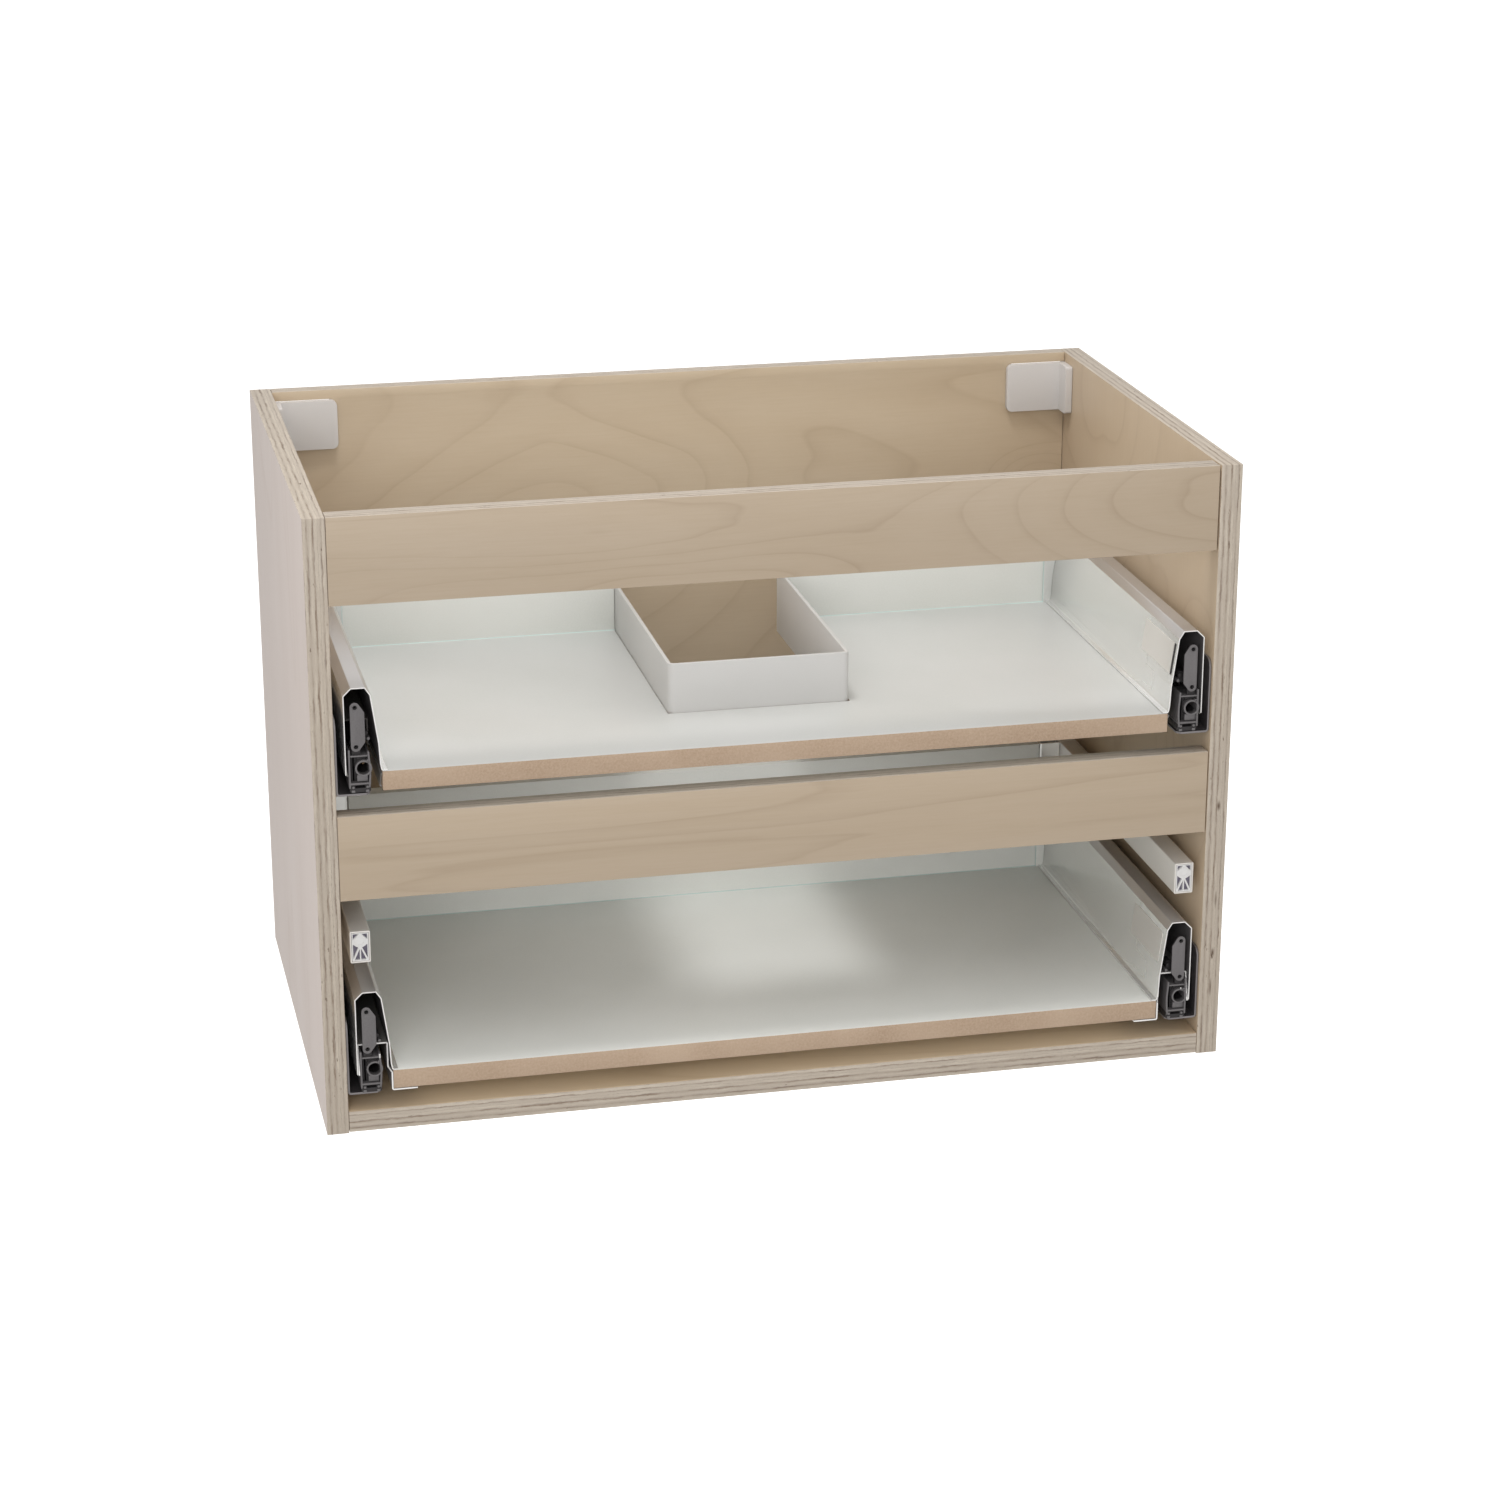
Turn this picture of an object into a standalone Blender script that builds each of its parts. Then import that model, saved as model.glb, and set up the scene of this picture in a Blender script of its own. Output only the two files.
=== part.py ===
"""Wall-hung drawer cabinet: a birch plywood carcass with two metal-sided drawers on full-extension runners.

Metres, +Z up, fronts facing -Y. The world origin is the centre of the back panel's wall face.
Inside the datum empty, heights count from the underside of the side panels.
"""

import math

import bmesh
import bpy
from mathutils import Matrix, Vector

# Carcass
CARCASS_WIDTH = 0.760
CARCASS_DEPTH = 0.4366
CARCASS_HEIGHT = 0.5174
PANEL_THICKNESS = 0.018
BACK_THICKNESS = 0.015
BOTTOM_LIFT = 0.001
RAIL_HEIGHT_SHARE = 0.1372

# Fits shared by every piece
SEAT_GAP = 0.0003
CUT_OVERRUN = 0.004
MERGE_DISTANCE = SEAT_GAP / 10
OUTLINE_SEGMENTS = 12
ROUND_SEGMENTS = 8
BEND_STEPS = 3
SHARP_DEGREES = 40

# Dowels that join the panels
DOWEL_RADIUS = 0.0037
DOWEL_LENGTH = 0.030
DOWEL_DEPTH_IN_SIDE = 0.012
RAIL_DOWEL_SPACING = 0.036
DOWEL_EDGE_DISTANCE = 0.050
PANEL_DOWEL_COUNT = 3

# Wall hangers in the rear top corners
HANGER_PLAY = 0.0010
HANGER_SIDE_PLAY = 0.0060
HANGER_SHEET = 0.002
HANGER_WALL_SETBACK = 0.004
HANGER_BEND_RADIUS = 0.003
HOOK_SLOT_WIDTH = 0.028
HOOK_SLOT_HEIGHT = 0.014
HOOK_SLOT_LIFT = 0.006
HOOK_LEDGE_DEPTH = 0.0036
HANGER_NOTCH_MARGIN = 0.003
COVER_WIDTH = 0.0557
COVER_HEIGHT = 0.0435
COVER_TOP_MARGIN = 0.0085
COVER_STANDOFF = 0.0052
COVER_WALL = 0.0022
COVER_ARM_LENGTH = 0.0245
COVER_CORNER_RADIUS = 0.005
COVER_EDGE_WALL = 0.0018

# Heights of the drawers: the lower floor board's top, and the room above the lower drawer and the middle rail
LOWER_FLOOR_TOP = 0.0520
LOWER_HEADROOM_SHARE = 0.0580
UPPER_FLOOR_LIFT = 0.0358

# Floor boards and back walls of the drawers
DRAWER_SETBACK = 0.0008
SERVICE_DEPTH = 0.0910
FLOOR_THICKNESS = 0.016
FLOOR_SIDE_ALLOWANCE = 0.0375
BACK_SIDE_ALLOWANCE = 0.0435
BACK_WALL_THICKNESS = 0.016
UPPER_BACK_HEIGHT = 0.0690
LOWER_BACK_SHARE = 0.2319

# Siphon cut-out of the upper drawer
CUTOUT_WIDTH = 0.1538
CUTOUT_DEPTH = 0.2541
CUTOUT_WALL = 0.0032
CUTOUT_RISE = 0.0423
CUTOUT_BEND_RADIUS = 0.0042

# Folded drawer sides: insets count from the outer face, heights from the floor board's top
SIDE_CLEARANCE = 0.0082
SIDE_SHEET = 0.0009
SIDE_BEND_RADIUS = 0.0012
SIDE_HEIGHT = 0.0702
SIDE_OUTER_DROP = 0.0015
SIDE_SHOULDER_DROP = 0.0062
SIDE_TOP_OUTER_INSET = 0.0063
SIDE_TOP_INNER_INSET = 0.0178
SIDE_INNER_SHOULDER_INSET = 0.0220
SIDE_INNER_SHOULDER_DROP = 0.0065
SIDE_WAIST_INSET = 0.0276
SIDE_HEEL_INSET = 0.0284
SIDE_HEEL_HEIGHT = 0.0055
SIDE_FOOT_INSET = 0.0334

# Drawer runners: the load-bearing section under and inside each folded side
WEB_HEIGHT = 0.0228
DRAWER_RUNNER_SHEET = 0.0012
DRAWER_RUNNER_BEND_RADIUS = 0.0015
DRAWER_RUNNER_SETBACK = 0.0060
DRAWER_RUNNER_OUTER_DROP = 0.0020
RUNNER_LIP_LENGTH = 0.0197
RISER_JOG_HEIGHT = 0.0012
RISER_JOG_DROP = 0.0014
RISER_JOG_BEND_RADIUS = 0.0007

# Cabinet runners: the fixed L profiles on the side panels
RUNNER_OVERHANG = 0.0052
RUNNER_SETBACK = 0.003
RUNNER_SHEET = 0.0018
RUNNER_DROP = 0.0196
RUNNER_PLATE_HEIGHT = 0.0636
RUNNER_FLANGE_WIDTH = 0.0277
RUNNER_BEND_RADIUS = 0.003
RUNNER_CORNER_RADIUS = 0.008

# Middle runners and the roller cages above and below them
MIDDLE_SHEET = 0.0015
MIDDLE_BEND_RADIUS = 0.0025
MIDDLE_WIDTH = 0.0120
MIDDLE_OUTER_INSET = 0.0073
MIDDLE_FRONT_SETBACK = 0.0330
ROLLER_RADIUS = 0.0020
ROLLER_LENGTH = 0.0070
CAGE_LENGTH = 0.120
CAGE_THICKNESS = 0.0014
CAGE_ROLLER_COUNT = 4
CAGE_BAR_WIDTH = 0.0017
OUTER_CAGE_LEAD = 0.0044
INNER_CAGE_TRAIL = 0.0116

# Front connectors inside the drawer sides
CONNECTOR_INSET = 0.0027
CONNECTOR_WIDTH = 0.0178
CONNECTOR_BOTTOM_DROP = 0.0168
CONNECTOR_HEIGHT = 0.0294
CONNECTOR_DEPTH = 0.0280
CONNECTOR_SETBACK = 0.0003
CONNECTOR_OUTER_WALL = 0.0015
CONNECTOR_INNER_WALL = 0.0016
CONNECTOR_OUTER_EAR = 0.0062
CONNECTOR_INNER_EAR = 0.0037
CONNECTOR_CORNER_RADIUS = 0.0020
CONNECTOR_BULGE = 0.0010
CONNECTOR_BORE_RADIUS = 0.0042
CONNECTOR_BORE_OFFSET = 0.0031
CONNECTOR_BORE_HEIGHT = 0.0037
CONNECTOR_RING_WALL = 0.0015
CONNECTOR_SPRING_CELL_WIDTH = 0.0015
CONNECTOR_EDGE_CELL_WIDTH = 0.0010
CONNECTOR_SLOT_WIDTH = 0.0080
CONNECTOR_SLOT_HEIGHT = 0.0022
CONNECTOR_SLOT_RISE = 0.0062
CONNECTOR_BASE_HEIGHT = 0.0096
CONNECTOR_LINTEL_HEIGHT = 0.0014
ARM_WIDTH = 0.0070
ARM_THICKNESS = 0.0032
LEVER_THICKNESS = 0.0016
LEVER_TOP_HOLE_HEIGHT = 0.0540
LEVER_LOW_HOLE_HEIGHT = 0.0215
LEVER_HOLE_RADIUS = 0.0018
LEVER_END_RADIUS = 0.0039
LEVER_REACH = 0.0074
LEVER_TOP_SHOULDER_DROP = 0.0045
LEVER_LOW_SHOULDER_RISE = 0.0035
LEVER_INSET = 0.0092

# Back brackets behind each drawer side
BRACKET_SHEET = 0.0012
BRACKET_BEND_RADIUS = 0.0014
BRACKET_BOTTOM_HEIGHT = 0.0110
BRACKET_TOP_HEIGHT = 0.0660
BRACKET_FRONT_LIP = 0.0055
BRACKET_TONGUE_LENGTH = 0.0260
BRACKET_TONGUE_INSET = 0.0060

# Gallery rails of the lower drawer
GALLERY_WIDTH = 0.0164
GALLERY_HEIGHT = 0.0271
GALLERY_WALL = 0.0012
GALLERY_CORNER_RADIUS = 0.0009
GALLERY_CENTRE_INSET = 0.0071
GALLERY_RISE = 0.0008
GALLERY_SETBACK = 0.0068
INSERT_DEPTH = 0.012
INSERT_WALL = 0.0009
INSERT_STRUT = 0.0010
INSERT_BOSS_HOLE_RADIUS = 0.0017
INSERT_FOOT_WALL = 0.0011
SUPPORT_WALL = 0.0020
SUPPORT_PEG_LENGTH = 0.014

# Screws
SCREW_SHANK_RADIUS = 0.0016
SCREW_HEAD_RADIUS = 0.0034
SCREW_HEAD_HEIGHT = 0.0012
SCREW_LENGTH = 0.0130
RUNNER_SCREW_COUNT = 3
RUNNER_SCREW_FIRST = 0.037
RUNNER_SCREW_REAR = 0.057
RUNNER_SCREW_RISE = 0.0376
LIP_SCREW_MARGIN = 0.064
BRACKET_SCREW_MARGIN = 0.014
HANGER_SCREW_SPACING = 0.018
HANGER_SCREW_EDGE = 0.008

# Values worked out from those above
RAIL_HEIGHT = CARCASS_HEIGHT * RAIL_HEIGHT_SHARE
LOWER_BACK_HEIGHT = CARCASS_HEIGHT * LOWER_BACK_SHARE
MIDDLE_RAIL_BOTTOM = LOWER_FLOOR_TOP + LOWER_BACK_HEIGHT + CARCASS_HEIGHT * LOWER_HEADROOM_SHARE
MIDDLE_RAIL_TOP = MIDDLE_RAIL_BOTTOM + RAIL_HEIGHT
UPPER_FLOOR_TOP = MIDDLE_RAIL_TOP + UPPER_FLOOR_LIFT
GALLERY_TOP_HEIGHT = LOWER_BACK_HEIGHT + GALLERY_RISE
DRAWER_LENGTH = CARCASS_DEPTH - DRAWER_SETBACK - SERVICE_DEPTH
RUNNER_LENGTH = DRAWER_LENGTH + RUNNER_OVERHANG
RUNNER_SCREW_SPACING = (RUNNER_LENGTH - RUNNER_SCREW_FIRST - RUNNER_SCREW_REAR) / (RUNNER_SCREW_COUNT - 1)
RUNNER_CENTRE = CARCASS_DEPTH - RUNNER_SETBACK - RUNNER_LENGTH / 2
OUTER_CAGE_CENTRE = RUNNER_CENTRE + OUTER_CAGE_LEAD
INNER_CAGE_CENTRE = RUNNER_CENTRE - INNER_CAGE_TRAIL
INSIDE_HALF = CARCASS_WIDTH / 2 - PANEL_THICKNESS
SIDE_OUTER_FACE = INSIDE_HALF - SIDE_CLEARANCE
FRONT_PLANE = -CARCASS_DEPTH
DRAWER_FRONT = FRONT_PLANE + DRAWER_SETBACK
DRAWER_REAR = DRAWER_FRONT + DRAWER_LENGTH
FLOOR_HALF = INSIDE_HALF - FLOOR_SIDE_ALLOWANCE
BACK_HALF = INSIDE_HALF - BACK_SIDE_ALLOWANCE
HOLE_CLEARANCE = SEAT_GAP
SCREW_HOLE_RADIUS = SCREW_SHANK_RADIUS + HOLE_CLEARANCE
WEB_UNDERSIDE = WEB_HEIGHT - DRAWER_RUNNER_SHEET
FLANGE_TOP = RUNNER_SHEET - RUNNER_DROP
LOWER_ROLLER_HEIGHT = FLANGE_TOP + SEAT_GAP + ROLLER_RADIUS
UPPER_ROLLER_HEIGHT = WEB_UNDERSIDE - SEAT_GAP - ROLLER_RADIUS
MIDDLE_BOTTOM = LOWER_ROLLER_HEIGHT + ROLLER_RADIUS + SEAT_GAP
MIDDLE_TOP = UPPER_ROLLER_HEIGHT - ROLLER_RADIUS - SEAT_GAP
MIDDLE_OUTER_FACE = SIDE_OUTER_FACE - MIDDLE_OUTER_INSET
CAGE_CENTRE_X = MIDDLE_OUTER_FACE - MIDDLE_WIDTH / 2
COVER_TOP = CARCASS_HEIGHT - COVER_TOP_MARGIN
COVER_BACK = -BACK_THICKNESS - SEAT_GAP
HANGER_TOP = COVER_TOP - COVER_EDGE_WALL - HANGER_PLAY
HANGER_BOTTOM = COVER_TOP - COVER_HEIGHT + COVER_EDGE_WALL + HANGER_PLAY
HANGER_WIDTH = COVER_WIDTH - COVER_EDGE_WALL - HANGER_SIDE_PLAY
HANGER_ARM_END = COVER_BACK - COVER_ARM_LENGTH + COVER_EDGE_WALL + HANGER_PLAY
SIDES = (("left", -1), ("right", 1))


def clear_scene():
    """Start from an empty file."""
    for item in list(bpy.data.objects):
        bpy.data.objects.remove(item, do_unlink=True)


def make_material(name, colour, roughness, metallic):
    """One Principled material for one kind of piece."""
    material = bpy.data.materials.new(name)
    material.use_nodes = True
    shader = material.node_tree.nodes["Principled BSDF"]
    shader.inputs["Base Color"].default_value = (*colour, 1.0)
    shader.inputs["Roughness"].default_value = roughness
    shader.inputs["Metallic"].default_value = metallic
    return material


def make_materials():
    """Colours and finishes as the object shows them."""
    return {
        "plywood": make_material("birch_plywood", (0.50, 0.39, 0.27), 0.55, 0.0),
        "board": make_material("white_melamine_board", (0.72, 0.72, 0.69), 0.35, 0.0),
        "steel": make_material("white_coated_steel", (0.62, 0.60, 0.58), 0.40, 0.2),
        "runner": make_material("grey_galvanised_steel", (0.16, 0.16, 0.17), 0.40, 0.7),
        "zinc": make_material("grey_die_cast_zinc", (0.19, 0.18, 0.18), 0.45, 0.6),
        "cover": make_material("pale_hanger_plastic", (0.60, 0.58, 0.55), 0.45, 0.0),
        "surround": make_material("white_surround_plastic", (0.70, 0.69, 0.68), 0.40, 0.0),
        "insert": make_material("pale_insert_plastic", (0.66, 0.65, 0.64), 0.45, 0.0),
        "cage": make_material("natural_cage_plastic", (0.60, 0.59, 0.55), 0.50, 0.0),
    }


def make_collections():
    """One collection for the object and one for its cutters."""
    parts = bpy.data.collections.new("wall_hung_drawer_cabinet")
    cutters = bpy.data.collections.new("cutters")
    bpy.context.scene.collection.children.link(parts)
    bpy.context.scene.collection.children.link(cutters)
    return parts, cutters


clear_scene()
PARTS, CUTTERS = make_collections()
MATERIALS = make_materials()


def make_empty(name, parent, height):
    """An empty that carries a group of pieces."""
    empty = bpy.data.objects.new(name, None)
    empty.location = (0, 0, height)
    empty.parent = parent
    PARTS.objects.link(empty)
    return empty


def add_piece(name, data, material, parent, location=(0, 0, 0)):
    """Put a mesh or curve into the object's collection under its frame."""
    piece = bpy.data.objects.new(name, data)
    piece.location = location
    piece.parent = parent
    data.materials.append(MATERIALS[material])
    PARTS.objects.link(piece)
    return piece


def add_cutter(name, mesh, parent, location=(0, 0, 0)):
    """Put a cutting or joining body into the cutters' collection."""
    cutter = bpy.data.objects.new(name, mesh)
    cutter.location = location
    cutter.parent = parent
    cutter.hide_render = True
    cutter.display_type = "WIRE"
    CUTTERS.objects.link(cutter)
    return cutter


def apply_boolean(piece, cutter, operation="DIFFERENCE"):
    """Cut a piece, or join a second body to it."""
    modifier = piece.modifiers.new(operation.lower(), "BOOLEAN")
    modifier.operation = operation
    modifier.object = cutter
    modifier.solver = "EXACT"


def span_centre(span):
    """Middle of a (low, high) pair."""
    return (span[0] + span[1]) / 2


def mirrored(side, near, far):
    """A (low, high) pair in X from two distances measured on the right."""
    return tuple(sorted((side * near, side * far)))


def box_mesh(name, x_span, y_span, z_span):
    """A box around its own centre."""
    size = [high - low for low, high in (x_span, y_span, z_span)]
    form = bmesh.new()
    bmesh.ops.create_cube(form, size=1.0, matrix=Matrix.Diagonal((*size, 1.0)))
    mesh = bpy.data.meshes.new(name)
    form.to_mesh(mesh)
    form.free()
    return mesh


def box_centre(x_span, y_span, z_span):
    """Where a box of those spans has its centre."""
    return (span_centre(x_span), span_centre(y_span), span_centre(z_span))


def add_box(name, spans, material, parent):
    """A rectangular piece."""
    return add_piece(name, box_mesh(name, *spans), material, parent, box_centre(*spans))


def add_box_cutter(name, spans, parent):
    """A rectangular cutter."""
    return add_cutter(name, box_mesh(name, *spans), parent, box_centre(*spans))


def axis_turn(axis):
    """Turn that lays a cylinder's own Z along the named axis."""
    quarter = math.pi / 2
    turns = {"X": Matrix.Rotation(quarter, 4, "Y"), "Y": Matrix.Rotation(-quarter, 4, "X"), "Z": Matrix()}
    return turns[axis]


def cylinder_group_mesh(name, centres, axis, radius, length):
    """Equal cylinders along one axis, each a separate closed body."""
    form = bmesh.new()
    for centre in centres:
        bmesh.ops.create_cone(
            form, cap_ends=True, segments=ROUND_SEGMENTS, radius1=radius, radius2=radius,
            depth=length, matrix=Matrix.Translation(centre) @ axis_turn(axis))
    mesh = bpy.data.meshes.new(name)
    form.to_mesh(mesh)
    form.free()
    mesh.shade_smooth()
    mesh.set_sharp_from_angle(angle=math.radians(SHARP_DEGREES))
    return mesh


def screw_group_mesh(name, seats):
    """Pan-head screws. Each seat is the head's underside and the way the shank points."""
    outline = (
        (0, SCREW_LENGTH), (SCREW_SHANK_RADIUS, SCREW_LENGTH), (SCREW_SHANK_RADIUS, 0),
        (SCREW_HEAD_RADIUS, 0), (SCREW_HEAD_RADIUS, -SCREW_HEAD_HEIGHT / 2),
        (SCREW_HEAD_RADIUS - SCREW_HEAD_HEIGHT / 2, -SCREW_HEAD_HEIGHT), (0, -SCREW_HEAD_HEIGHT))
    form = bmesh.new()
    for seat, direction in seats:
        place = Matrix.Translation(seat) @ Vector(direction).to_track_quat("Z", "Y").to_matrix().to_4x4()
        points = [form.verts.new((radius, 0, height)) for radius, height in outline]
        edges = [form.edges.new(pair) for pair in zip(points, points[1:])]
        bmesh.ops.spin(
            form, geom=points + edges, cent=(0, 0, 0), axis=(0, 0, 1),
            angle=math.tau, steps=ROUND_SEGMENTS, use_merge=True)
        fresh = [vert for vert in form.verts if not vert.tag]
        bmesh.ops.remove_doubles(form, verts=fresh, dist=MERGE_DISTANCE)
        fresh = [vert for vert in form.verts if not vert.tag]
        bmesh.ops.transform(form, matrix=place, verts=fresh)
        for vert in fresh:
            vert.tag = True
    bmesh.ops.recalc_face_normals(form, faces=form.faces)
    mesh = bpy.data.meshes.new(name)
    form.to_mesh(mesh)
    form.free()
    mesh.shade_smooth()
    mesh.set_sharp_from_angle(angle=math.radians(SHARP_DEGREES))
    return mesh


def bent_path(points, radius):
    """Round the inner corners of an open path with arcs. A radius may be given for each corner."""
    radii = radius if isinstance(radius, (list, tuple)) else [radius] * (len(points) - 2)
    path = [Vector(points[0])]
    for before, corner, after, bend in zip(points, points[1:], points[2:], radii):
        corner = Vector(corner)
        back = (Vector(before) - corner).normalized()
        ahead = (Vector(after) - corner).normalized()
        half_angle = back.angle(ahead) / 2
        reach = bend / math.tan(half_angle)
        centre = corner + (back + ahead).normalized() * (bend / math.sin(half_angle))
        start = corner + back * reach - centre
        end = corner + ahead * reach - centre
        sweep = start.angle_signed(end)
        for step in range(BEND_STEPS + 1):
            turn = Matrix.Rotation(-sweep * step / BEND_STEPS, 2)
            path.append(centre + turn @ start)
    path.append(Vector(points[-1]))
    return path


def sheet_mesh(name, path, plane, span):
    """An open strip drawn along a flat path in plane XZ or XY and swept over the third axis.

    Seen with the plane's first axis to the right and its second up, the sheet's material
    lies to the right of the path's direction once it has its thickness.
    """
    def corner(point, depth):
        if plane == "XZ":
            return (point[0], depth, point[1])
        return (point[0], point[1], depth)

    near, far = span if plane == "XZ" else reversed(span)
    vertices = [corner(point, depth) for point in path for depth in (near, far)]
    faces = [(2 * i, 2 * i + 2, 2 * i + 3, 2 * i + 1) for i in range(len(path) - 1)]
    mesh = bpy.data.meshes.new(name)
    mesh.from_pydata(vertices, [], faces)
    mesh.shade_smooth()
    mesh.set_sharp_from_angle(angle=math.radians(SHARP_DEGREES))
    return mesh


def add_folded_sheet(name, path, plane, span, thickness, material, parent):
    """A folded sheet-metal or moulded wall of even thickness."""
    piece = add_piece(name, sheet_mesh(name, path, plane, span), material, parent)
    solidify = piece.modifiers.new("sheet", "SOLIDIFY")
    solidify.thickness = thickness
    solidify.offset = -1
    solidify.use_even_offset = True
    return piece


def side_path(side, points, radius):
    """A bent path drawn for the right side, mirrored for the left with its material side kept."""
    path = bent_path(points, radius)
    if side > 0:
        return path
    return [Vector((-point[0], point[1])) for point in reversed(path)]


def arc_points(centre, radius, start_degrees, end_degrees, steps):
    """Points on an arc, ends included."""
    points = []
    for step in range(steps + 1):
        angle = math.radians(start_degrees + (end_degrees - start_degrees) * step / steps)
        points.append((centre[0] + radius * math.cos(angle), centre[1] + radius * math.sin(angle)))
    return points


def circle_loop(centre, radius):
    """A closed round outline."""
    return arc_points(centre, radius, 0, 360, OUTLINE_SEGMENTS)[:-1]


def rectangle_loop(x_span, y_span, radius=0):
    """A closed rectangle, its corners rounded when a radius is given."""
    corners = (
        (x_span[1] - radius, y_span[1] - radius, 0), (x_span[0] + radius, y_span[1] - radius, 90),
        (x_span[0] + radius, y_span[0] + radius, 180), (x_span[1] - radius, y_span[0] + radius, 270))
    loop = []
    for x_value, y_value, start in corners:
        if radius > 0:
            loop += arc_points((x_value, y_value), radius, start, start + 90, BEND_STEPS)
        else:
            loop.append((x_value, y_value))
    return loop


def outline_curve(name, loops, depth):
    """A flat outline with its holes, filled and extruded to a depth."""
    curve = bpy.data.curves.new(name, "CURVE")
    curve.dimensions = "2D"
    curve.fill_mode = "BOTH"
    curve.extrude = depth / 2
    for loop in loops:
        spline = curve.splines.new("POLY")
        spline.points.add(len(loop) - 1)
        for point, place in zip(spline.points, loop):
            point.co = (place[0], place[1], 0, 1)
        spline.use_cyclic_u = True
    return curve


def outline_mesh(name, loops, depth):
    """The same outline as a closed mesh, for pieces that are cut or joined."""
    source = bpy.data.objects.new(name + "_outline", outline_curve(name + "_outline", loops, depth))
    bpy.context.scene.collection.objects.link(source)
    evaluated = source.evaluated_get(bpy.context.evaluated_depsgraph_get())
    mesh = bpy.data.meshes.new_from_object(evaluated)
    bpy.data.objects.remove(source, do_unlink=True)
    form = bmesh.new()
    form.from_mesh(mesh)
    bmesh.ops.remove_doubles(form, verts=form.verts, dist=MERGE_DISTANCE)
    form.to_mesh(mesh)
    form.free()
    mesh.materials.clear()
    return mesh


FACE_FRONT = (math.pi / 2, 0, 0)


def add_front_outline(name, loops, y_span, material, parent, origin_x=0):
    """An outline drawn in X and Z and extruded along Y."""
    curve = outline_curve(name, loops, y_span[1] - y_span[0])
    piece = add_piece(name, curve, material, parent, (origin_x, span_centre(y_span), 0))
    piece.rotation_euler = FACE_FRONT
    return piece


def between_sides():
    """X span of every panel that stands between the two side panels."""
    half = INSIDE_HALF - SEAT_GAP
    return (-half, half)


def spread(low, high, count):
    """Evenly spaced values, ends included."""
    return [low + (high - low) * step / (count - 1) for step in range(count)]


def panel_spans():
    """Y and Z spans of the panels between the sides."""
    bottom_top = BOTTOM_LIFT + PANEL_THICKNESS
    rail_rear = FRONT_PLANE + PANEL_THICKNESS
    return {
        "bottom_panel": ((FRONT_PLANE, 0), (BOTTOM_LIFT, bottom_top)),
        "back_panel": ((-BACK_THICKNESS, 0), (bottom_top + SEAT_GAP, CARCASS_HEIGHT)),
        "top_front_rail": ((FRONT_PLANE, rail_rear), (CARCASS_HEIGHT - RAIL_HEIGHT, CARCASS_HEIGHT)),
        "middle_front_rail": ((FRONT_PLANE, rail_rear), (MIDDLE_RAIL_BOTTOM, MIDDLE_RAIL_TOP)),
    }


def dowel_places():
    """Y and Z of the dowels in each panel's ends."""
    places = {}
    for name, (y_span, z_span) in panel_spans().items():
        y_middle = span_centre(y_span)
        z_middle = span_centre(z_span)
        if name == "bottom_panel":
            low = y_span[0] + DOWEL_EDGE_DISTANCE
            high = y_span[1] - DOWEL_EDGE_DISTANCE
            places[name] = [(y_value, z_middle) for y_value in spread(low, high, PANEL_DOWEL_COUNT)]
        elif name == "back_panel":
            low = z_span[0] + DOWEL_EDGE_DISTANCE
            high = HANGER_BOTTOM - DOWEL_EDGE_DISTANCE
            places[name] = [(y_middle, z_value) for z_value in spread(low, high, PANEL_DOWEL_COUNT)]
        else:
            half = RAIL_DOWEL_SPACING / 2
            places[name] = [(y_middle, z_middle - half), (y_middle, z_middle + half)]
    return places


def dowel_centres(places, side):
    """Centres of the dowels at those places on one side."""
    centre_x = INSIDE_HALF + DOWEL_DEPTH_IN_SIDE - DOWEL_LENGTH / 2
    return [(side * centre_x, y_value, z_value) for y_value, z_value in places]


def screw_seats(side, sheet_thickness, places):
    """Seats of screws that hold a sheet to a side panel: head undersides just inside the sheet's face."""
    face = INSIDE_HALF - sheet_thickness
    return [((side * face, y_value, z_value), (side, 0, 0)) for y_value, z_value in places]


def runner_screw_seats(side):
    """Screws of one cabinet runner, heights counted from the floor board's top."""
    height = RUNNER_SCREW_RISE - RUNNER_DROP
    first = FRONT_PLANE + RUNNER_SCREW_FIRST
    places = [(first + RUNNER_SCREW_SPACING * step, height) for step in range(RUNNER_SCREW_COUNT)]
    return screw_seats(side, RUNNER_SHEET, places)


def hanger_screw_seats(side):
    """Screws of one wall hanger."""
    y_value = HANGER_ARM_END + HANGER_SCREW_EDGE
    middle = (HANGER_TOP + HANGER_BOTTOM) / 2
    half = HANGER_SCREW_SPACING / 2
    return screw_seats(side, HANGER_SHEET, [(y_value, middle - half), (y_value, middle + half)])


def add_hole_cutter(name, seats, axis, frame):
    """Cutter for the holes of those screws."""
    length = 2 * (SCREW_LENGTH + SEAT_GAP)
    mesh = cylinder_group_mesh(name, [seat for seat, _ in seats], axis, SCREW_HOLE_RADIUS, length)
    return add_cutter(name, mesh, frame)


def join_screws(piece, seats, frame):
    """Make the screws that hold a piece part of its solid."""
    title = piece.name + "_screws"
    apply_boolean(piece, add_cutter(title, screw_group_mesh(title, seats), frame), "UNION")


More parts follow.
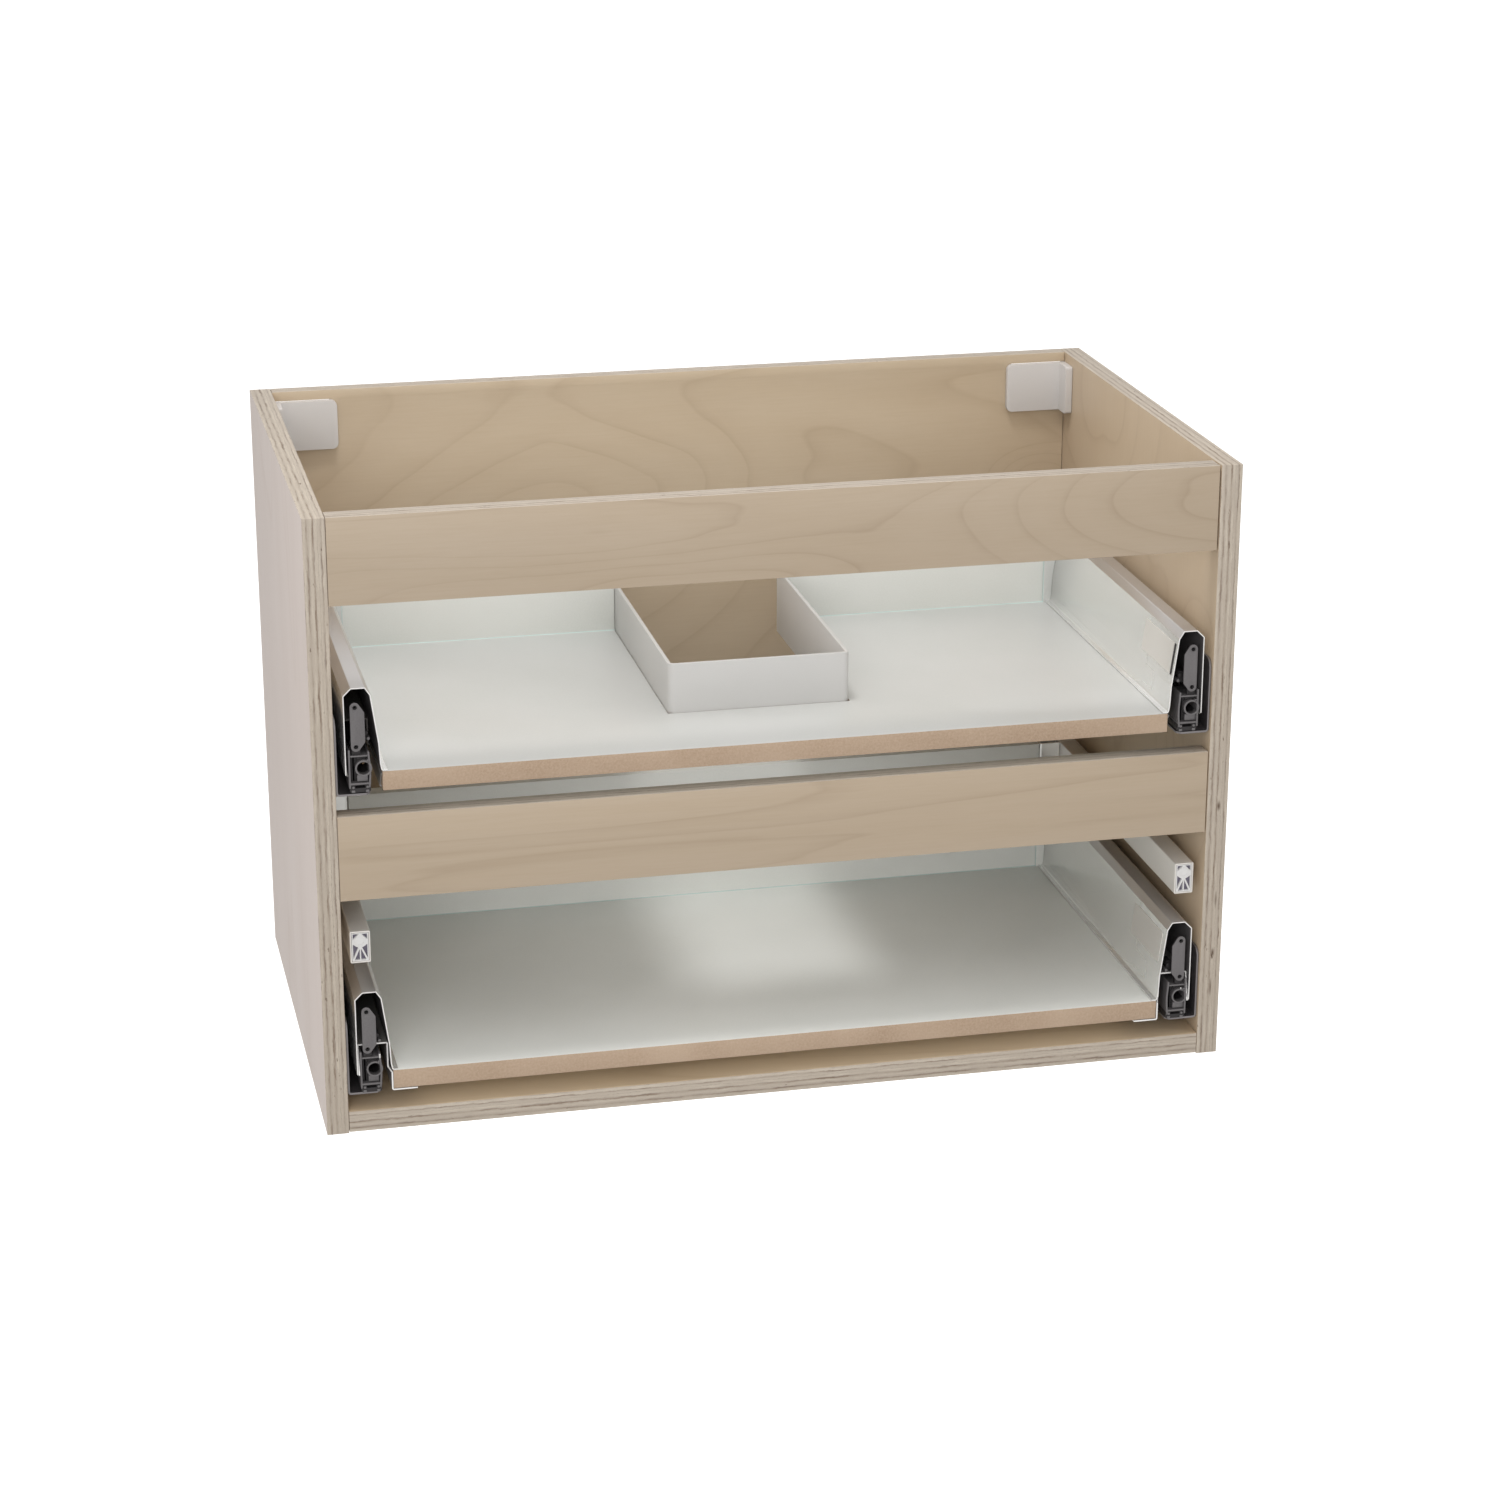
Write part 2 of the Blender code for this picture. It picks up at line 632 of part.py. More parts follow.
def add_side_panels(datum, frames):
    """The two plywood sides, drilled for dowels and screws."""
    places = [place for panel in dowel_places().values() for place in panel]
    hole_radius = DOWEL_RADIUS + HOLE_CLEARANCE
    hole_length = DOWEL_LENGTH + 2 * SEAT_GAP
    for name, side in SIDES:
        spans = (mirrored(side, INSIDE_HALF, CARCASS_WIDTH / 2), (FRONT_PLANE, 0), (0, CARCASS_HEIGHT))
        panel = add_box(name + "_side_panel", spans, "plywood", datum)
        centres = dowel_centres(places, side)
        dowel_mesh = cylinder_group_mesh(name + "_dowel_holes", centres, "X", hole_radius, hole_length)
        apply_boolean(panel, add_cutter(name + "_dowel_holes", dowel_mesh, datum))
        apply_boolean(panel, add_hole_cutter(name + "_hanger_holes", hanger_screw_seats(side), "X", datum))
        for level, frame in frames.items():
            title = f"{level}_{name}_runner_holes"
            apply_boolean(panel, add_hole_cutter(title, runner_screw_seats(side), "X", frame))


def add_cross_panels(datum):
    """Bottom, back and the two front rails, with the dowels of their ends fused on."""
    for name, (y_span, z_span) in panel_spans().items():
        panel = add_box(name, (between_sides(), y_span, z_span), "plywood", datum)
        places = dowel_places()[name]
        centres = dowel_centres(places, -1) + dowel_centres(places, 1)
        dowel_mesh = cylinder_group_mesh(name + "_dowels", centres, "X", DOWEL_RADIUS, DOWEL_LENGTH)
        apply_boolean(panel, add_cutter(name + "_dowels", dowel_mesh, datum), "UNION")
        if name == "back_panel":
            for side_name, side in SIDES:
                apply_boolean(panel, add_hanger_notch(side_name, side, datum))


def add_hanger_notch(side_name, side, datum):
    """Cutter for the back panel's notch that a hanger reaches the wall through."""
    x_span = mirrored(side, INSIDE_HALF - HANGER_WIDTH - HANGER_NOTCH_MARGIN, INSIDE_HALF + CUT_OVERRUN)
    y_span = (-BACK_THICKNESS - CUT_OVERRUN, CUT_OVERRUN)
    z_span = (HANGER_BOTTOM - HANGER_NOTCH_MARGIN, HANGER_TOP + HANGER_NOTCH_MARGIN)
    return add_box_cutter(side_name + "_hanger_notch", (x_span, y_span, z_span), datum)


def add_hangers(datum):
    """Folded steel hangers with a ledge that hooks over a wall plate."""
    face = INSIDE_HALF - SEAT_GAP
    wall_y = -HANGER_WALL_SETBACK
    slot_centre = face - HANGER_WIDTH / 2
    slot_low = HANGER_BOTTOM + HOOK_SLOT_LIFT
    slot_high = slot_low + HOOK_SLOT_HEIGHT
    for name, side in SIDES:
        points = ((face - HANGER_WIDTH, wall_y), (face, wall_y), (face, HANGER_ARM_END))
        path = side_path(side, points, HANGER_BEND_RADIUS)
        hanger = add_folded_sheet(
            name + "_hanger_body", path, "XY", (HANGER_BOTTOM, HANGER_TOP), HANGER_SHEET, "runner", datum)
        x_span = mirrored(side, slot_centre - HOOK_SLOT_WIDTH / 2, slot_centre + HOOK_SLOT_WIDTH / 2)
        slot_y = (wall_y - HANGER_SHEET - CUT_OVERRUN, wall_y + CUT_OVERRUN)
        slot = add_box_cutter(name + "_hook_slot", (x_span, slot_y, (slot_low, slot_high)), datum)
        ledge_y = (wall_y - HANGER_SHEET / 2, wall_y + HOOK_LEDGE_DEPTH)
        ledge_z = (slot_high, slot_high + HANGER_SHEET)
        ledge = add_box_cutter(name + "_hook_ledge", (x_span, ledge_y, ledge_z), datum)
        apply_boolean(hanger, slot)
        apply_boolean(hanger, ledge, "UNION")
        join_screws(hanger, hanger_screw_seats(side), datum)


def add_hanger_covers(datum):
    """Moulded covers over the hangers, with an arm along the side panel."""
    face = INSIDE_HALF - SEAT_GAP
    back = COVER_BACK
    front = back - COVER_STANDOFF
    z_span = (COVER_TOP - COVER_HEIGHT, COVER_TOP)
    arm_face = face - HANGER_SHEET - SEAT_GAP - SCREW_HEAD_HEIGHT - 2 * SEAT_GAP
    for name, side in SIDES:
        outline = rectangle_loop(mirrored(side, face - COVER_WIDTH, face), z_span, COVER_CORNER_RADIUS)
        mesh = outline_mesh(name + "_hanger_cover", [outline], COVER_STANDOFF)
        cover = add_piece(name + "_hanger_cover", mesh, "cover", datum, (0, (front + back) / 2, 0))
        cover.rotation_euler = FACE_FRONT
        arm_x = mirrored(side, arm_face - COVER_WALL, face)
        arm = add_box_cutter(
            name + "_cover_arm", (arm_x, (back - COVER_ARM_LENGTH, front + COVER_WALL / 2), z_span), datum)
        arm_hollow_x = mirrored(side, arm_face, face + CUT_OVERRUN)
        inner_z = (z_span[0] + COVER_EDGE_WALL, z_span[1] - COVER_EDGE_WALL)
        arm_hollow = add_box_cutter(
            name + "_cover_arm_hollow",
            (arm_hollow_x, (back - COVER_ARM_LENGTH + COVER_EDGE_WALL, back + CUT_OVERRUN), inner_z), datum)
        plate_hollow_x = mirrored(side, face - COVER_WIDTH + COVER_EDGE_WALL, face + CUT_OVERRUN)
        plate_hollow = add_box_cutter(
            name + "_cover_plate_hollow",
            (plate_hollow_x, (front + COVER_WALL, back + CUT_OVERRUN), inner_z), datum)
        apply_boolean(cover, arm, "UNION")
        apply_boolean(cover, arm_hollow)
        apply_boolean(cover, plate_hollow)


def add_cabinet_runners(level, frame):
    """Fixed L-shaped runners that carry a drawer."""
    face = INSIDE_HALF - SEAT_GAP
    front = FRONT_PLANE + RUNNER_SETBACK
    rear = front + RUNNER_LENGTH
    top = RUNNER_PLATE_HEIGHT - RUNNER_DROP
    for name, side in SIDES:
        points = ((face - RUNNER_FLANGE_WIDTH, -RUNNER_DROP), (face, -RUNNER_DROP), (face, top))
        path = side_path(side, list(reversed(points)), RUNNER_BEND_RADIUS)
        runner = add_folded_sheet(
            f"{level}_{name}_cabinet_runner", path, "XZ", (front, rear), RUNNER_SHEET, "runner", frame)
        apply_boolean(runner, add_plate_corner_cutter(level, name, side, frame, front, top))
        join_screws(runner, runner_screw_seats(side), frame)


def add_plate_corner_cutter(level, name, side, frame, front, top):
    """Cutter that rounds the top front corner of a cabinet runner's plate."""
    radius = RUNNER_CORNER_RADIUS
    centre = (-(front + radius), top - radius)
    arc = arc_points(centre, radius, 0, 90, BEND_STEPS)
    outside = [(centre[0], top + CUT_OVERRUN), (-front + CUT_OVERRUN, top + CUT_OVERRUN),
               (-front + CUT_OVERRUN, centre[1])]
    mesh = outline_mesh(f"{level}_{name}_runner_corner", [arc + outside], RUNNER_SHEET + 2 * CUT_OVERRUN)
    cutter = add_cutter(
        f"{level}_{name}_runner_corner", mesh, frame, (side * (INSIDE_HALF - RUNNER_SHEET / 2), 0, 0))
    cutter.rotation_euler = (math.pi / 2, 0, -math.pi / 2)
    return cutter


def add_middle_runners(level, frame):
    """C-shaped members that run out half as far as the drawer."""
    y_span = (DRAWER_FRONT + MIDDLE_FRONT_SETBACK, DRAWER_REAR)
    inner = MIDDLE_OUTER_FACE - MIDDLE_WIDTH
    for name, side in SIDES:
        points = (
            (inner, MIDDLE_TOP), (MIDDLE_OUTER_FACE, MIDDLE_TOP),
            (MIDDLE_OUTER_FACE, MIDDLE_BOTTOM), (inner, MIDDLE_BOTTOM))
        path = side_path(side, points, MIDDLE_BEND_RADIUS)
        add_folded_sheet(f"{level}_{name}_middle_runner", path, "XZ", y_span, MIDDLE_SHEET, "runner", frame)


def add_roller_cages(level, stage, frame, centre_back, height):
    """Ladder-shaped cages with their rollers, one on each side of the cabinet.

    A roller's ends stand in the cage's side bars, so that cage and rollers are one solid.
    """
    y_centre = -centre_back
    pitch = CAGE_LENGTH / CAGE_ROLLER_COUNT
    window_x = ROLLER_LENGTH / 2 - SEAT_GAP
    window_y = ROLLER_RADIUS + SEAT_GAP
    half_width = window_x + CAGE_BAR_WIDTH
    y_span = (y_centre - CAGE_LENGTH / 2, y_centre + CAGE_LENGTH / 2)
    for name, side in SIDES:
        title = f"{level}_{name}_{stage}_roller_cage"
        x_centre = side * CAGE_CENTRE_X
        loops = [rectangle_loop((x_centre - half_width, x_centre + half_width), y_span)]
        rollers = []
        for step in range(CAGE_ROLLER_COUNT):
            y_value = y_span[0] + pitch * (step + 1 / 2)
            window = ((x_centre - window_x, x_centre + window_x), (y_value - window_y, y_value + window_y))
            loops.append(rectangle_loop(*window))
            rollers.append((x_centre, y_value, 0))
        cage = add_piece(title, outline_mesh(title, loops, CAGE_THICKNESS), "cage", frame, (0, 0, height))
        roller_mesh = cylinder_group_mesh(title + "_rollers", rollers, "X", ROLLER_RADIUS, ROLLER_LENGTH)
        apply_boolean(cage, add_cutter(title + "_rollers", roller_mesh, frame, (0, 0, height)), "UNION")


def add_drawer_sides(level, frame):
    """Folded hollow drawer sides with chamfered shoulders and a foot on the floor board."""
    outer = SIDE_OUTER_FACE
    points = (
        (outer, -SIDE_OUTER_DROP),
        (outer, SIDE_HEIGHT - SIDE_SHOULDER_DROP),
        (outer - SIDE_TOP_OUTER_INSET, SIDE_HEIGHT),
        (outer - SIDE_TOP_INNER_INSET, SIDE_HEIGHT),
        (outer - SIDE_INNER_SHOULDER_INSET, SIDE_HEIGHT - SIDE_INNER_SHOULDER_DROP),
        (outer - SIDE_WAIST_INSET, WEB_HEIGHT),
        (outer - SIDE_HEEL_INSET, SIDE_SHEET + SEAT_GAP + SIDE_HEEL_HEIGHT),
        (outer - SIDE_HEEL_INSET - SIDE_SHEET, SIDE_SHEET + SEAT_GAP),
        (outer - SIDE_FOOT_INSET, SIDE_SHEET + SEAT_GAP))
    bends = [SIDE_BEND_RADIUS] * 6 + [SIDE_SHEET + SEAT_GAP]
    y_span = (DRAWER_FRONT, DRAWER_REAR)
    for name, side in SIDES:
        path = side_path(side, list(reversed(points)), list(reversed(bends)))
        add_folded_sheet(f"{level}_{name}_drawer_side", path, "XZ", y_span, SIDE_SHEET, "steel", frame)


def add_drawer_runners(level, frame):
    """Roll-formed sections that grip the floor board and cover the middle runner."""
    floor_edge = FLOOR_HALF + SEAT_GAP
    floor_under = -FLOOR_THICKNESS - SEAT_GAP
    riser = SIDE_OUTER_FACE - SIDE_WAIST_INSET + SIDE_SHEET + SEAT_GAP
    channel = SIDE_OUTER_FACE - SIDE_SHEET - SEAT_GAP
    points = (
        (floor_edge - RUNNER_LIP_LENGTH, floor_under),
        (floor_edge, floor_under),
        (floor_edge, -RISER_JOG_DROP),
        (riser, RISER_JOG_HEIGHT),
        (riser, WEB_HEIGHT),
        (channel, WEB_HEIGHT),
        (channel, -DRAWER_RUNNER_OUTER_DROP))
    jog = RISER_JOG_BEND_RADIUS
    bend = DRAWER_RUNNER_BEND_RADIUS
    y_span = (DRAWER_FRONT + DRAWER_RUNNER_SETBACK, DRAWER_REAR)
    for name, side in SIDES:
        path = side_path(side, points, [jog, jog, jog, bend, bend])
        runner = add_folded_sheet(
            f"{level}_{name}_drawer_runner", path, "XZ", y_span, DRAWER_RUNNER_SHEET, "steel", frame)
        join_screws(runner, lip_screw_seats(side), frame)


def connector_outline(side):
    """Frame of the front connector, around its own middle: two bars that end in round ears over a lintel."""
    half = CONNECTOR_WIDTH / 2
    bottom = -CONNECTOR_BOTTOM_DROP
    top = bottom + CONNECTOR_HEIGHT
    radius = CONNECTOR_CORNER_RADIUS
    inner_edge = -half + CONNECTOR_BULGE
    outline = arc_points((half - radius, bottom + radius), radius, -90, 0, BEND_STEPS)
    for middle, wall, ear in (
            (half - CONNECTOR_OUTER_WALL / 2, CONNECTOR_OUTER_WALL, CONNECTOR_OUTER_EAR),
            (inner_edge + CONNECTOR_INNER_WALL / 2, CONNECTOR_INNER_WALL, CONNECTOR_INNER_EAR)):
        ear_end = arc_points((middle, top + ear - wall / 2), wall / 2, 0, 180, BEND_STEPS)
        outline += [(middle + wall / 2, top)] + ear_end + [(middle - wall / 2, top)]
    for share in spread(1, 0, 2 * BEND_STEPS + 1)[1:]:
        bulge = CONNECTOR_BULGE * (1 - (2 * share - 1) ** 2)
        outline.append((inner_edge - bulge, bottom + (top - bottom) * share))
    return [(side * x_value, y_value) for x_value, y_value in outline]


def connector_cells(side):
    """Holes in the front connector. Its bore is offset to the right on both sides of a drawer."""
    half = CONNECTOR_WIDTH / 2
    inner_wall = CONNECTOR_BULGE + CONNECTOR_INNER_WALL
    left_wall, right_wall = (inner_wall, CONNECTOR_OUTER_WALL) if side > 0 else (CONNECTOR_OUTER_WALL, inner_wall)
    left, right = left_wall - half, half - right_wall
    low = CONNECTOR_BASE_HEIGHT - CONNECTOR_BOTTOM_DROP
    high = CONNECTOR_HEIGHT - CONNECTOR_BOTTOM_DROP - CONNECTOR_LINTEL_HEIGHT
    bore = (CONNECTOR_BORE_OFFSET, CONNECTOR_BORE_HEIGHT)
    ring = CONNECTOR_BORE_RADIUS + CONNECTOR_RING_WALL
    ring_left = bore[0] - ring
    cell_start = ring_left + CONNECTOR_RING_WALL
    edge_cell = CONNECTOR_EDGE_CELL_WIDTH
    slot_half = CONNECTOR_SLOT_WIDTH / 2
    slot_middle = CONNECTOR_SLOT_RISE - CONNECTOR_BOTTOM_DROP
    slot_rise = CONNECTOR_SLOT_HEIGHT / 2
    return [
        circle_loop(bore, CONNECTOR_BORE_RADIUS),
        rectangle_loop((left, left + edge_cell), (low + edge_cell, high - edge_cell)),
        rectangle_loop((ring_left - CONNECTOR_SPRING_CELL_WIDTH, ring_left), (low, high)),
        rectangle_loop((cell_start, right), (low, bore[1] - ring)),
        rectangle_loop((cell_start, right), (bore[1] + ring, high)),
        rectangle_loop((-slot_half, slot_half), (slot_middle - slot_rise, slot_middle + slot_rise)),
    ]


def add_front_connectors(level, frame):
    """Die-cast blocks that a drawer front would clip to. The frame is mirrored and the bore is not."""
    centre_right = SIDE_OUTER_FACE - CONNECTOR_INSET - CONNECTOR_WIDTH / 2
    front = DRAWER_FRONT + CONNECTOR_SETBACK
    arm_front = front + LEVER_THICKNESS + SEAT_GAP
    arm_low = CONNECTOR_HEIGHT - CONNECTOR_BOTTOM_DROP - CONNECTOR_LINTEL_HEIGHT / 2
    arm_high = LEVER_TOP_HOLE_HEIGHT + LEVER_HOLE_RADIUS
    for name, side in SIDES:
        title = f"{level}_{name}_front_connector"
        centre = side * centre_right
        loops = [connector_outline(side)] + connector_cells(side)
        mesh = outline_mesh(title, loops, CONNECTOR_DEPTH)
        block = add_piece(title, mesh, "zinc", frame, (centre, front + CONNECTOR_DEPTH / 2, 0))
        block.rotation_euler = FACE_FRONT
        lever_x = side * (SIDE_OUTER_FACE - LEVER_INSET)
        arm = add_box_cutter(
            f"{level}_{name}_connector_arm",
            ((lever_x - ARM_WIDTH / 2, lever_x + ARM_WIDTH / 2),
             (arm_front, arm_front + ARM_THICKNESS), (arm_low, arm_high)), frame)
        apply_boolean(block, arm, "UNION")


def tangent_angle(corner, centre, radius, turn):
    """Angle, in degrees, where a line from a corner touches a circle. Turn picks one of the two."""
    across = corner[0] - centre[0]
    above = corner[1] - centre[1]
    return math.degrees(math.atan2(above, across) + turn * math.acos(radius / math.hypot(across, above)))


def lever_loops(side):
    """Outline and two holes of a lever plate, which is wider toward the drawer's inside."""
    top = (0, LEVER_TOP_HOLE_HEIGHT)
    low = (0, LEVER_LOW_HOLE_HEIGHT)
    top_shoulder = (-LEVER_REACH, LEVER_TOP_HOLE_HEIGHT - LEVER_TOP_SHOULDER_DROP)
    low_shoulder = (-LEVER_REACH, LEVER_LOW_HOLE_HEIGHT + LEVER_LOW_SHOULDER_RISE)
    steps = OUTLINE_SEGMENTS // 2
    top_end = tangent_angle(top_shoulder, top, LEVER_END_RADIUS, -1)
    low_start = tangent_angle(low_shoulder, low, LEVER_END_RADIUS, 1)
    outline = arc_points(top, LEVER_END_RADIUS, 0, top_end % 360, steps)
    outline += [top_shoulder, low_shoulder]
    outline += arc_points(low, LEVER_END_RADIUS, low_start % 360, 360, steps)
    loops = [outline, circle_loop(top, LEVER_HOLE_RADIUS), circle_loop(low, LEVER_HOLE_RADIUS)]
    return [[(side * x_value, y_value) for x_value, y_value in loop] for loop in loops]


def add_front_levers(level, frame):
    """Lever plates lying flat on the connectors' arms."""
    front = DRAWER_FRONT + CONNECTOR_SETBACK
    for name, side in SIDES:
        add_front_outline(
            f"{level}_{name}_front_lever", lever_loops(side), (front, front + LEVER_THICKNESS),
            "zinc", frame, side * (SIDE_OUTER_FACE - LEVER_INSET))


def add_back_brackets(level, frame):
    """Folded brackets that close a drawer side's rear end and hold the back wall.

    Each is relieved where the middle runner passes behind the drawer as it opens.
    """
    wall_end = BACK_HALF + SEAT_GAP
    wall_front = DRAWER_REAR - BACK_WALL_THICKNESS
    rear = DRAWER_REAR + SEAT_GAP + BRACKET_SHEET
    tongue = SIDE_OUTER_FACE - SIDE_SHEET - BRACKET_TONGUE_INSET
    points = (
        (wall_end + BRACKET_FRONT_LIP, wall_front),
        (wall_end, wall_front),
        (wall_end, rear),
        (tongue, rear),
        (tongue, rear - BRACKET_TONGUE_LENGTH))
    low_cut_x = SIDE_OUTER_FACE - SIDE_SHEET
    for name, side in SIDES:
        path = side_path(side, points, BRACKET_BEND_RADIUS)
        bracket = add_folded_sheet(
            f"{level}_{name}_back_bracket", path, "XY", (BRACKET_BOTTOM_HEIGHT, BRACKET_TOP_HEIGHT),
            BRACKET_SHEET, "steel", frame)
        x_span = mirrored(side, BACK_HALF + 2 * BRACKET_FRONT_LIP, low_cut_x)
        y_span = (rear - BRACKET_TONGUE_LENGTH - CUT_OVERRUN, rear + CUT_OVERRUN)
        z_span = (BRACKET_BOTTOM_HEIGHT - CUT_OVERRUN, WEB_HEIGHT + SEAT_GAP)
        relief = add_box_cutter(f"{level}_{name}_tongue_relief", (x_span, y_span, z_span), frame)
        apply_boolean(bracket, relief)
        join_screws(bracket, bracket_screw_seats(side), frame)


def lip_screw_seats(side):
    """Screws up into the floor board through one runner's lip."""
    x_value = side * (FLOOR_HALF - RUNNER_LIP_LENGTH / 2)
    z_value = -FLOOR_THICKNESS - DRAWER_RUNNER_SHEET
    ends = (DRAWER_FRONT + LIP_SCREW_MARGIN, DRAWER_REAR - LIP_SCREW_MARGIN)
    return [((x_value, y_value, z_value), (0, 0, 1)) for y_value in ends]


def bracket_screw_seats(side):
    """Screws through one back bracket into the end of the back wall."""
    x_value = side * (BACK_HALF + BRACKET_SHEET)
    y_value = DRAWER_REAR - BACK_WALL_THICKNESS / 2
    heights = (BRACKET_BOTTOM_HEIGHT + BRACKET_SCREW_MARGIN, BRACKET_TOP_HEIGHT - BRACKET_SCREW_MARGIN)
    return [((x_value, y_value, z_value), (-side, 0, 0)) for z_value in heights]


def both_sides(seats_of):
    """One list of the seats on the left and on the right."""
    return seats_of(-1) + seats_of(1)


def add_floor(level, frame):
    """Melamine-faced floor board, drilled for the screws of the runners' lips."""
    spans = ((-FLOOR_HALF, FLOOR_HALF), (DRAWER_FRONT, DRAWER_REAR), (-FLOOR_THICKNESS, 0))
    floor = add_box(level + "_drawer_floor", spans, "board", frame)
    apply_boolean(floor, add_hole_cutter(level + "_lip_holes", both_sides(lip_screw_seats), "Z", frame))
    return floor


def add_cutout_notch(floor, frame):
    """Notch in the upper floor that the siphon passes through."""
    half = CUTOUT_WIDTH / 2 + SEAT_GAP
    y_span = (DRAWER_REAR - CUTOUT_DEPTH - SEAT_GAP, DRAWER_REAR + CUT_OVERRUN)
    z_span = (-FLOOR_THICKNESS - CUT_OVERRUN, CUT_OVERRUN)
    apply_boolean(floor, add_box_cutter("cutout_notch", ((-half, half), y_span, z_span), frame))


def add_cutout_surround(frame):
    """Three-sided wall around the siphon cut-out."""
    half = CUTOUT_WIDTH / 2
    front = DRAWER_REAR - CUTOUT_DEPTH
    points = ((half, DRAWER_REAR), (half, front), (-half, front), (-half, DRAWER_REAR))
    path = bent_path(points, CUTOUT_BEND_RADIUS)
    add_folded_sheet(
        "siphon_cutout_surround", path, "XY", (-FLOOR_THICKNESS, CUTOUT_RISE), CUTOUT_WALL, "surround", frame)


def add_upper_back_walls(frame):
    """Two short back walls beside the siphon cut-out."""
    inner = CUTOUT_WIDTH / 2 + SEAT_GAP
    y_span = (DRAWER_REAR - BACK_WALL_THICKNESS, DRAWER_REAR)
    for name, side in SIDES:
        spans = (mirrored(side, inner, BACK_HALF), y_span, (SEAT_GAP, UPPER_BACK_HEIGHT))
        wall = add_box(f"upper_{name}_back_wall", spans, "board", frame)
        holes = add_hole_cutter(f"upper_{name}_wall_holes", bracket_screw_seats(side), "X", frame)
        apply_boolean(wall, holes)


def add_lower_back_wall(frame):
    """One tall back wall across the lower drawer."""
    y_span = (DRAWER_REAR - BACK_WALL_THICKNESS, DRAWER_REAR)
    spans = ((-BACK_HALF, BACK_HALF), y_span, (SEAT_GAP, LOWER_BACK_HEIGHT))
    wall = add_box("lower_back_wall", spans, "board", frame)
    apply_boolean(wall, add_hole_cutter("lower_wall_holes", both_sides(bracket_screw_seats), "X", frame))


def gallery_spans(side, shrink=0):
    """X and Z spans of a gallery rail's section, made smaller all round by shrink."""
    centre = SIDE_OUTER_FACE - GALLERY_CENTRE_INSET
    half = GALLERY_WIDTH / 2 - shrink
    x_span = mirrored(side, centre - half, centre + half)
    return x_span, (GALLERY_TOP_HEIGHT - GALLERY_HEIGHT + shrink, GALLERY_TOP_HEIGHT - shrink)


def add_gallery_rails(frame):
    """Rectangular tubes that run above the lower drawer's sides."""
    y_span = (FRONT_PLANE + GALLERY_SETBACK, DRAWER_REAR)
    for name, side in SIDES:
        loops = [
            rectangle_loop(*gallery_spans(side), GALLERY_CORNER_RADIUS),
            rectangle_loop(*gallery_spans(side, GALLERY_WALL))]
        add_front_outline(name + "_gallery_rail", loops, y_span, "steel", frame)


def insert_loops(side):
    """Plug outline with a round boss at the top and struts to the walls, as cells left open."""
    x_span, z_span = gallery_spans(side, GALLERY_WALL + SEAT_GAP)
    centre_x = span_centre(x_span)
    inner_half = (x_span[1] - x_span[0]) / 2 - INSERT_WALL
    boss_radius = inner_half - INSERT_STRUT / 2
    boss_centre = (centre_x, z_span[1] - INSERT_WALL - inner_half)
    strut = INSERT_STRUT / 2
    floor = z_span[0] + INSERT_FOOT_WALL
    elbow = boss_centre[1] - boss_radius - INSERT_STRUT
    wall_high = boss_centre[1] - inner_half / 3
    wall_low = elbow - inner_half * 2 / 3
    loops = [rectangle_loop(x_span, z_span)]
    for way in (-1, 1):
        wall_x = centre_x + way * inner_half
        lower_cell = [
            (centre_x + way * strut, floor), (wall_x, floor), (wall_x, wall_low - strut),
            (centre_x + way * strut, elbow - strut)]
        side_cell = [
            (wall_x, wall_low + INSERT_STRUT), (wall_x, wall_high),
            (centre_x + way * inner_half * 2 / 3, elbow + inner_half / 3),
            (centre_x + way * inner_half / 3, elbow + strut / 2)]
        corner_cell = [
            (wall_x, z_span[1] - INSERT_WALL),
            (wall_x - way * inner_half * 2 / 5, z_span[1] - INSERT_WALL),
            (wall_x, z_span[1] - INSERT_WALL - inner_half * 2 / 5)]
        loops += [lower_cell, side_cell, corner_cell]
    loops.append(circle_loop(boss_centre, INSERT_BOSS_HOLE_RADIUS))
    return loops


def add_gallery_inserts(frame):
    """Moulded plugs in the front ends of the gallery rails."""
    front = FRONT_PLANE + GALLERY_SETBACK
    for name, side in SIDES:
        add_front_outline(
            name + "_gallery_end_insert", insert_loops(side), (front, front + INSERT_DEPTH), "insert", frame)


def add_gallery_supports(frame):
    """Supports behind the gallery rails, standing on the drawer sides beside the back wall."""
    wall_end = BACK_HALF + SEAT_GAP
    wall_front = DRAWER_REAR - BACK_WALL_THICKNESS
    rear = DRAWER_REAR + SEAT_GAP + SUPPORT_WALL
    rail_inner = SIDE_OUTER_FACE - GALLERY_CENTRE_INSET - GALLERY_WIDTH / 2 - SEAT_GAP
    rail_outer = rail_inner + GALLERY_WIDTH + SEAT_GAP
    z_span = (SIDE_HEIGHT + SEAT_GAP, LOWER_BACK_HEIGHT)
    points = (
        (rail_inner, wall_front), (wall_end, wall_front), (wall_end, rear), (rail_outer, rear))
    for name, side in SIDES:
        path = side_path(side, points, SUPPORT_WALL + SEAT_GAP)
        support = add_folded_sheet(
            name + "_gallery_support", path, "XY", z_span, SUPPORT_WALL, "steel", frame)
        peg_x, peg_z = gallery_spans(side, GALLERY_WALL + SEAT_GAP)
        peg_y = (DRAWER_REAR - SUPPORT_PEG_LENGTH, rear - SUPPORT_WALL / 2)
        peg_high = peg_z[1] - GALLERY_WALL
        peg = add_box_cutter(name + "_support_peg", (peg_x, peg_y, (peg_z[0], peg_high)), frame)
        apply_boolean(support, peg, "UNION")


